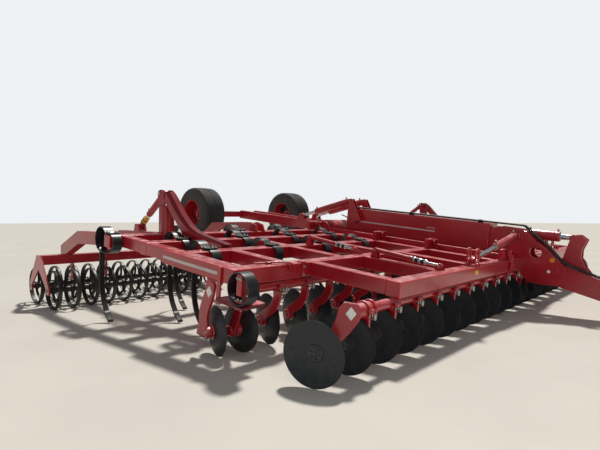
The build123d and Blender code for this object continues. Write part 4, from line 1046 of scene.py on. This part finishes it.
MAIN_HOSES_Y = [-0.1455, -0.119, -0.0925]
SPREAD = 0.0045  # How far the hoses drift sideways over the drawbar's joint
DRAW_HOSES_Y = [-0.014, 0.014, 0.042]
px, pz = DRAW_PIVOT
base_u = to_frame(1.96, 1.08)[0]
over = MAIN_TOP + HOSE_LIFT
away = (0.012 + HOSE_R) / sqrt(2)
main_end = (px + 0.06 + away, pz + 0.12 + away)
main_route = [to_world(MAIN_REAR + 0.06, over), to_world(base_u + 0.06, over),
              (px - 0.12 + away + 0.02, pz + 0.29 + away + 0.02), main_end]
bm = bmesh.new()
for y in MAIN_HOSES_Y:
    add_tube(bm, bent([(a, y, b) for a, b in main_route], 0.07, 8), HOSE_R, 12)
for u in (MAIN_REAR + 0.2, (MAIN_REAR + MAIN_FRONT) / 2, MAIN_FRONT - 0.15):
    add_clip(bm, TILT @ Matrix.Translation((u, 0, over)), -0.1585, -0.0795)
a, b = Vector(main_route[-2]), Vector(main_route[-1])
for share in (0.25, 0.6, 0.95):
    c = a.lerp(b, share)
    m = turned((c.x, MAIN_HOSES_Y[1], c.y), -atan2(b.y - a.y, b.x - a.x), "Y")
    add_box(bm, (-0.009, -0.0405, HOSE_R + 0.0002), (0.009, 0.0405, HOSE_R + 0.003), m, 1)
finish_piece("main_hose_bundle", bm, [hose_rubber, hub_black], "machine_frame",
             ["main_hoses"])

crossing = [main_end, (2.6, 0.665), (2.74, 0.615), (2.86, 0.566)]
cross_pts = curve(crossing, 8)
bm = bmesh.new()
for y in MAIN_HOSES_Y:
    add_tube(bm, [(a, y + SPREAD * i / (len(cross_pts) - 1), b)
                  for i, (a, b) in enumerate(cross_pts)], HOSE_R, 12)
crossing_hoses = add_mesh("crossing_hoses", bm, [hose_rubber])
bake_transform(crossing_hoses)

run = [(px + 0.49, pz - 0.075), (EYE[0] - 1.075, EYE[1] + 0.115), (EYE[0] - 0.295, EYE[1] + 0.075)]
first, second = (atan2(a[1] - b[1], b[0] - a[0]) for a, b in zip(run, run[1:]))


def above(k, share, angle):
    """A point over the drawbar's straight run k, lifted square to the angle."""
    a, b = run[k:k + 2]
    x, z = a[0] + (b[0] - a[0]) * share, a[1] + (b[1] - a[1]) * share
    return x + HOSE_LIFT * sin(angle), z + HOSE_LIFT * cos(angle)


draw_pts = curve([(2.86, 0.566), above(0, 0.2, first), above(0, 0.6, first),
                  above(1, 0.0, (first + second) / 2), above(1, 0.3, second),
                  above(1, 0.55, second)])
bm = bmesh.new()
for y0, y1 in zip(MAIN_HOSES_Y, DRAW_HOSES_Y):
    y0 += SPREAD
    pts = []
    for i, (x, z) in enumerate(draw_pts):
        q = min(1.0, i / ((len(draw_pts) - 1) * 0.55))
        pts.append(Vector((x, y0 + (y1 - y0) * q * q * (3 - 2 * q), z)))
    add_tube(bm, pts, HOSE_R, 12)
    end, before = pts[-1], pts[-3]
    way = (end - before).normalized()
    # Push-in coupling with its bright sleeve
    add_rod(bm, end - way * 0.03, end + way * 0.012, HOSE_R + 0.003, 6, 2)
    add_rod(bm, end + way * 0.012, end + way * 0.05, HOSE_R + 0.001, 20, 2)
for k, share, angle, shift in ((0, 0.75, first, -0.02), (1, 0.4, second, 0.0)):
    cx, cz = above(k, share, angle)
    m = turned((cx, 0.014, cz), angle, "Y")
    add_clip(bm, m, -0.043 + shift, 0.043 + shift)
finish_piece("drawbar_hose_bundle", bm, [hose_rubber, hub_black, zinc], "drawbar",
             ["drawbar_hoses"])

# Two pale hoses that loop past the end of the gear's pivot tube
for s, side in SIDES:
    bm = bmesh.new()
    for shift in (0.0, 0.03):
        pts = [(x + shift, s * y, z) for x, y, z in (
            (-1.47, 0.3, 1.36), (-1.45, 0.46, 1.3), (-1.4, 0.478, 1.19), (-1.335, 0.478, 1.07),
            (-1.22, 0.478, 0.95), (-1.1, 0.47, 0.9), (-1.0, 0.47, 0.985))]
        add_tube(bm, smooth_path(pts, 7), 0.0065, 8)
    finish_piece(f"gear_hoses_{side}", bm, [grey_hose], "machine_frame")


# Depth cylinders that lie along the wings


def add_depth_cylinder(bm, a, b, y):
    a, b = (TILT @ Vector((u, y, w)) for u, w in (a, b))
    way = (b - a).normalized()
    length = (b - a).length

    def at(d):
        return a + way * d

    add_rod(bm, at(0.0), at(length * 0.56), 0.026, round_edge=0.004)
    add_rod(bm, at(length * 0.54), at(length * 0.6), 0.03, round_edge=0.004)
    add_rod(bm, at(length * 0.6), at(length), 0.015, 20, 2)
    for k in range(5):
        d = length * 0.61 + k * 0.034
        r, mat = ((0.029, 2), (0.027, 3))[k % 2]
        add_rod(bm, at(d), at(d + 0.029), r, 20, mat, 0.003)
    side = Vector((0, 1, 0))
    for p in (at(-0.012), at(length + 0.012)):
        add_rod(bm, p - side * 0.018, p + side * 0.018, 0.026)
        add_rod(bm, p - side * 0.042, p + side * 0.042, 0.011, 16, 1)


for s, side in SIDES:
    bm = bmesh.new()
    y = s * 2.29
    for a, b in (((0.03, 0.178), (0.72, 0.128)), ((1.05, 0.166), (1.83, 0.12))):
        add_depth_cylinder(bm, a, b, y)
        for u, w in ((a[0] - 0.012, a[1] + 0.003), (b[0] + 0.012, b[1] - 0.003)):
            foot = 0.0 if u < 0.4 else (0.8 if u < 0.9 else u)
            for dy in (-0.036, 0.022):
                outline = [(foot - 0.045, 0.0755), (foot + 0.045, 0.0755), (u + 0.024, w + 0.002),
                           (u + 0.012, w + 0.022), (u - 0.012, w + 0.022), (u - 0.024, w + 0.002)]
                add_prism(bm, outline, y + dy, y + dy + 0.014, TILT)
    finish_piece(f"depth_cylinders_{side}", bm, [red, zinc, chrome, hub_black], f"wing_{side}")


# Marks, reflectors and stickers without letters


def disc_outline(r, count=28):
    return [tuple(polar(r, tau * k / count).xy) for k in range(count)]


bm = bmesh.new()
for s in (1, -1):
    low, high = s * (MAIN_HALF + HAIR), s * (MAIN_HALF + 0.0016)
    add_box(bm, (-0.74, low, 0.283), (0.705, high, 0.307), TILT)
    add_box(bm, (0.57, low, 0.34), (0.705, high, 0.35), TILT)
    y = s * (TOWER_OUT + 0.003)
    add_sheet(bm, (2.375, y, 0.735), (1, 0, 0), (0, 0, 1), disc_outline(0.032), 0.006, 1)
    add_sheet(bm, (2.331, y, 0.58), (1, 0, 0), (0, 0, 1), disc_outline(0.022), 0.006, 2)
finish_piece("frame_marks", bm, [stripe, amber, white], "machine_frame")
for s, side in SIDES:
    bm = bmesh.new()
    low, high = s * (RAIL_OUT + HAIR), s * (RAIL_OUT + 0.0016)
    add_box(bm, (-0.235, low, -0.01), (0.715, high, 0.02), TILT)
    x, z = to_world(RIGID_HANGER_U, -0.172)
    y = s * (RIGID[1] + ARM_GAP + ARM_THICK + 0.0015)
    add_sheet(bm, (x - 0.012, y, z - 0.012), (1, 0, -0.2), (0.2, 0, 1),
              rhombus(0.046, 0.057), 0.002, 2)
    # Blank sticker on the front face of the front bar below the fold cylinder's lug
    c = TILT @ Vector((FRONT_BAR + BAR / 2 + 0.0012, s * 1.62, 0.012))
    add_sheet(bm, c, (0, 1, 0), TILT.to_3x3() @ Vector((0, 0, 1)),
              [(-0.05, -0.024), (0.05, -0.024), (0.05, 0.024), (-0.05, 0.024)], 0.0016, 3)
    finish_piece(f"wing_marks_{side}", bm, [stripe, amber, white, yellow], f"wing_{side}")

low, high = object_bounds()
{"cad": cad_box, "visual": [list(low), list(high)]}
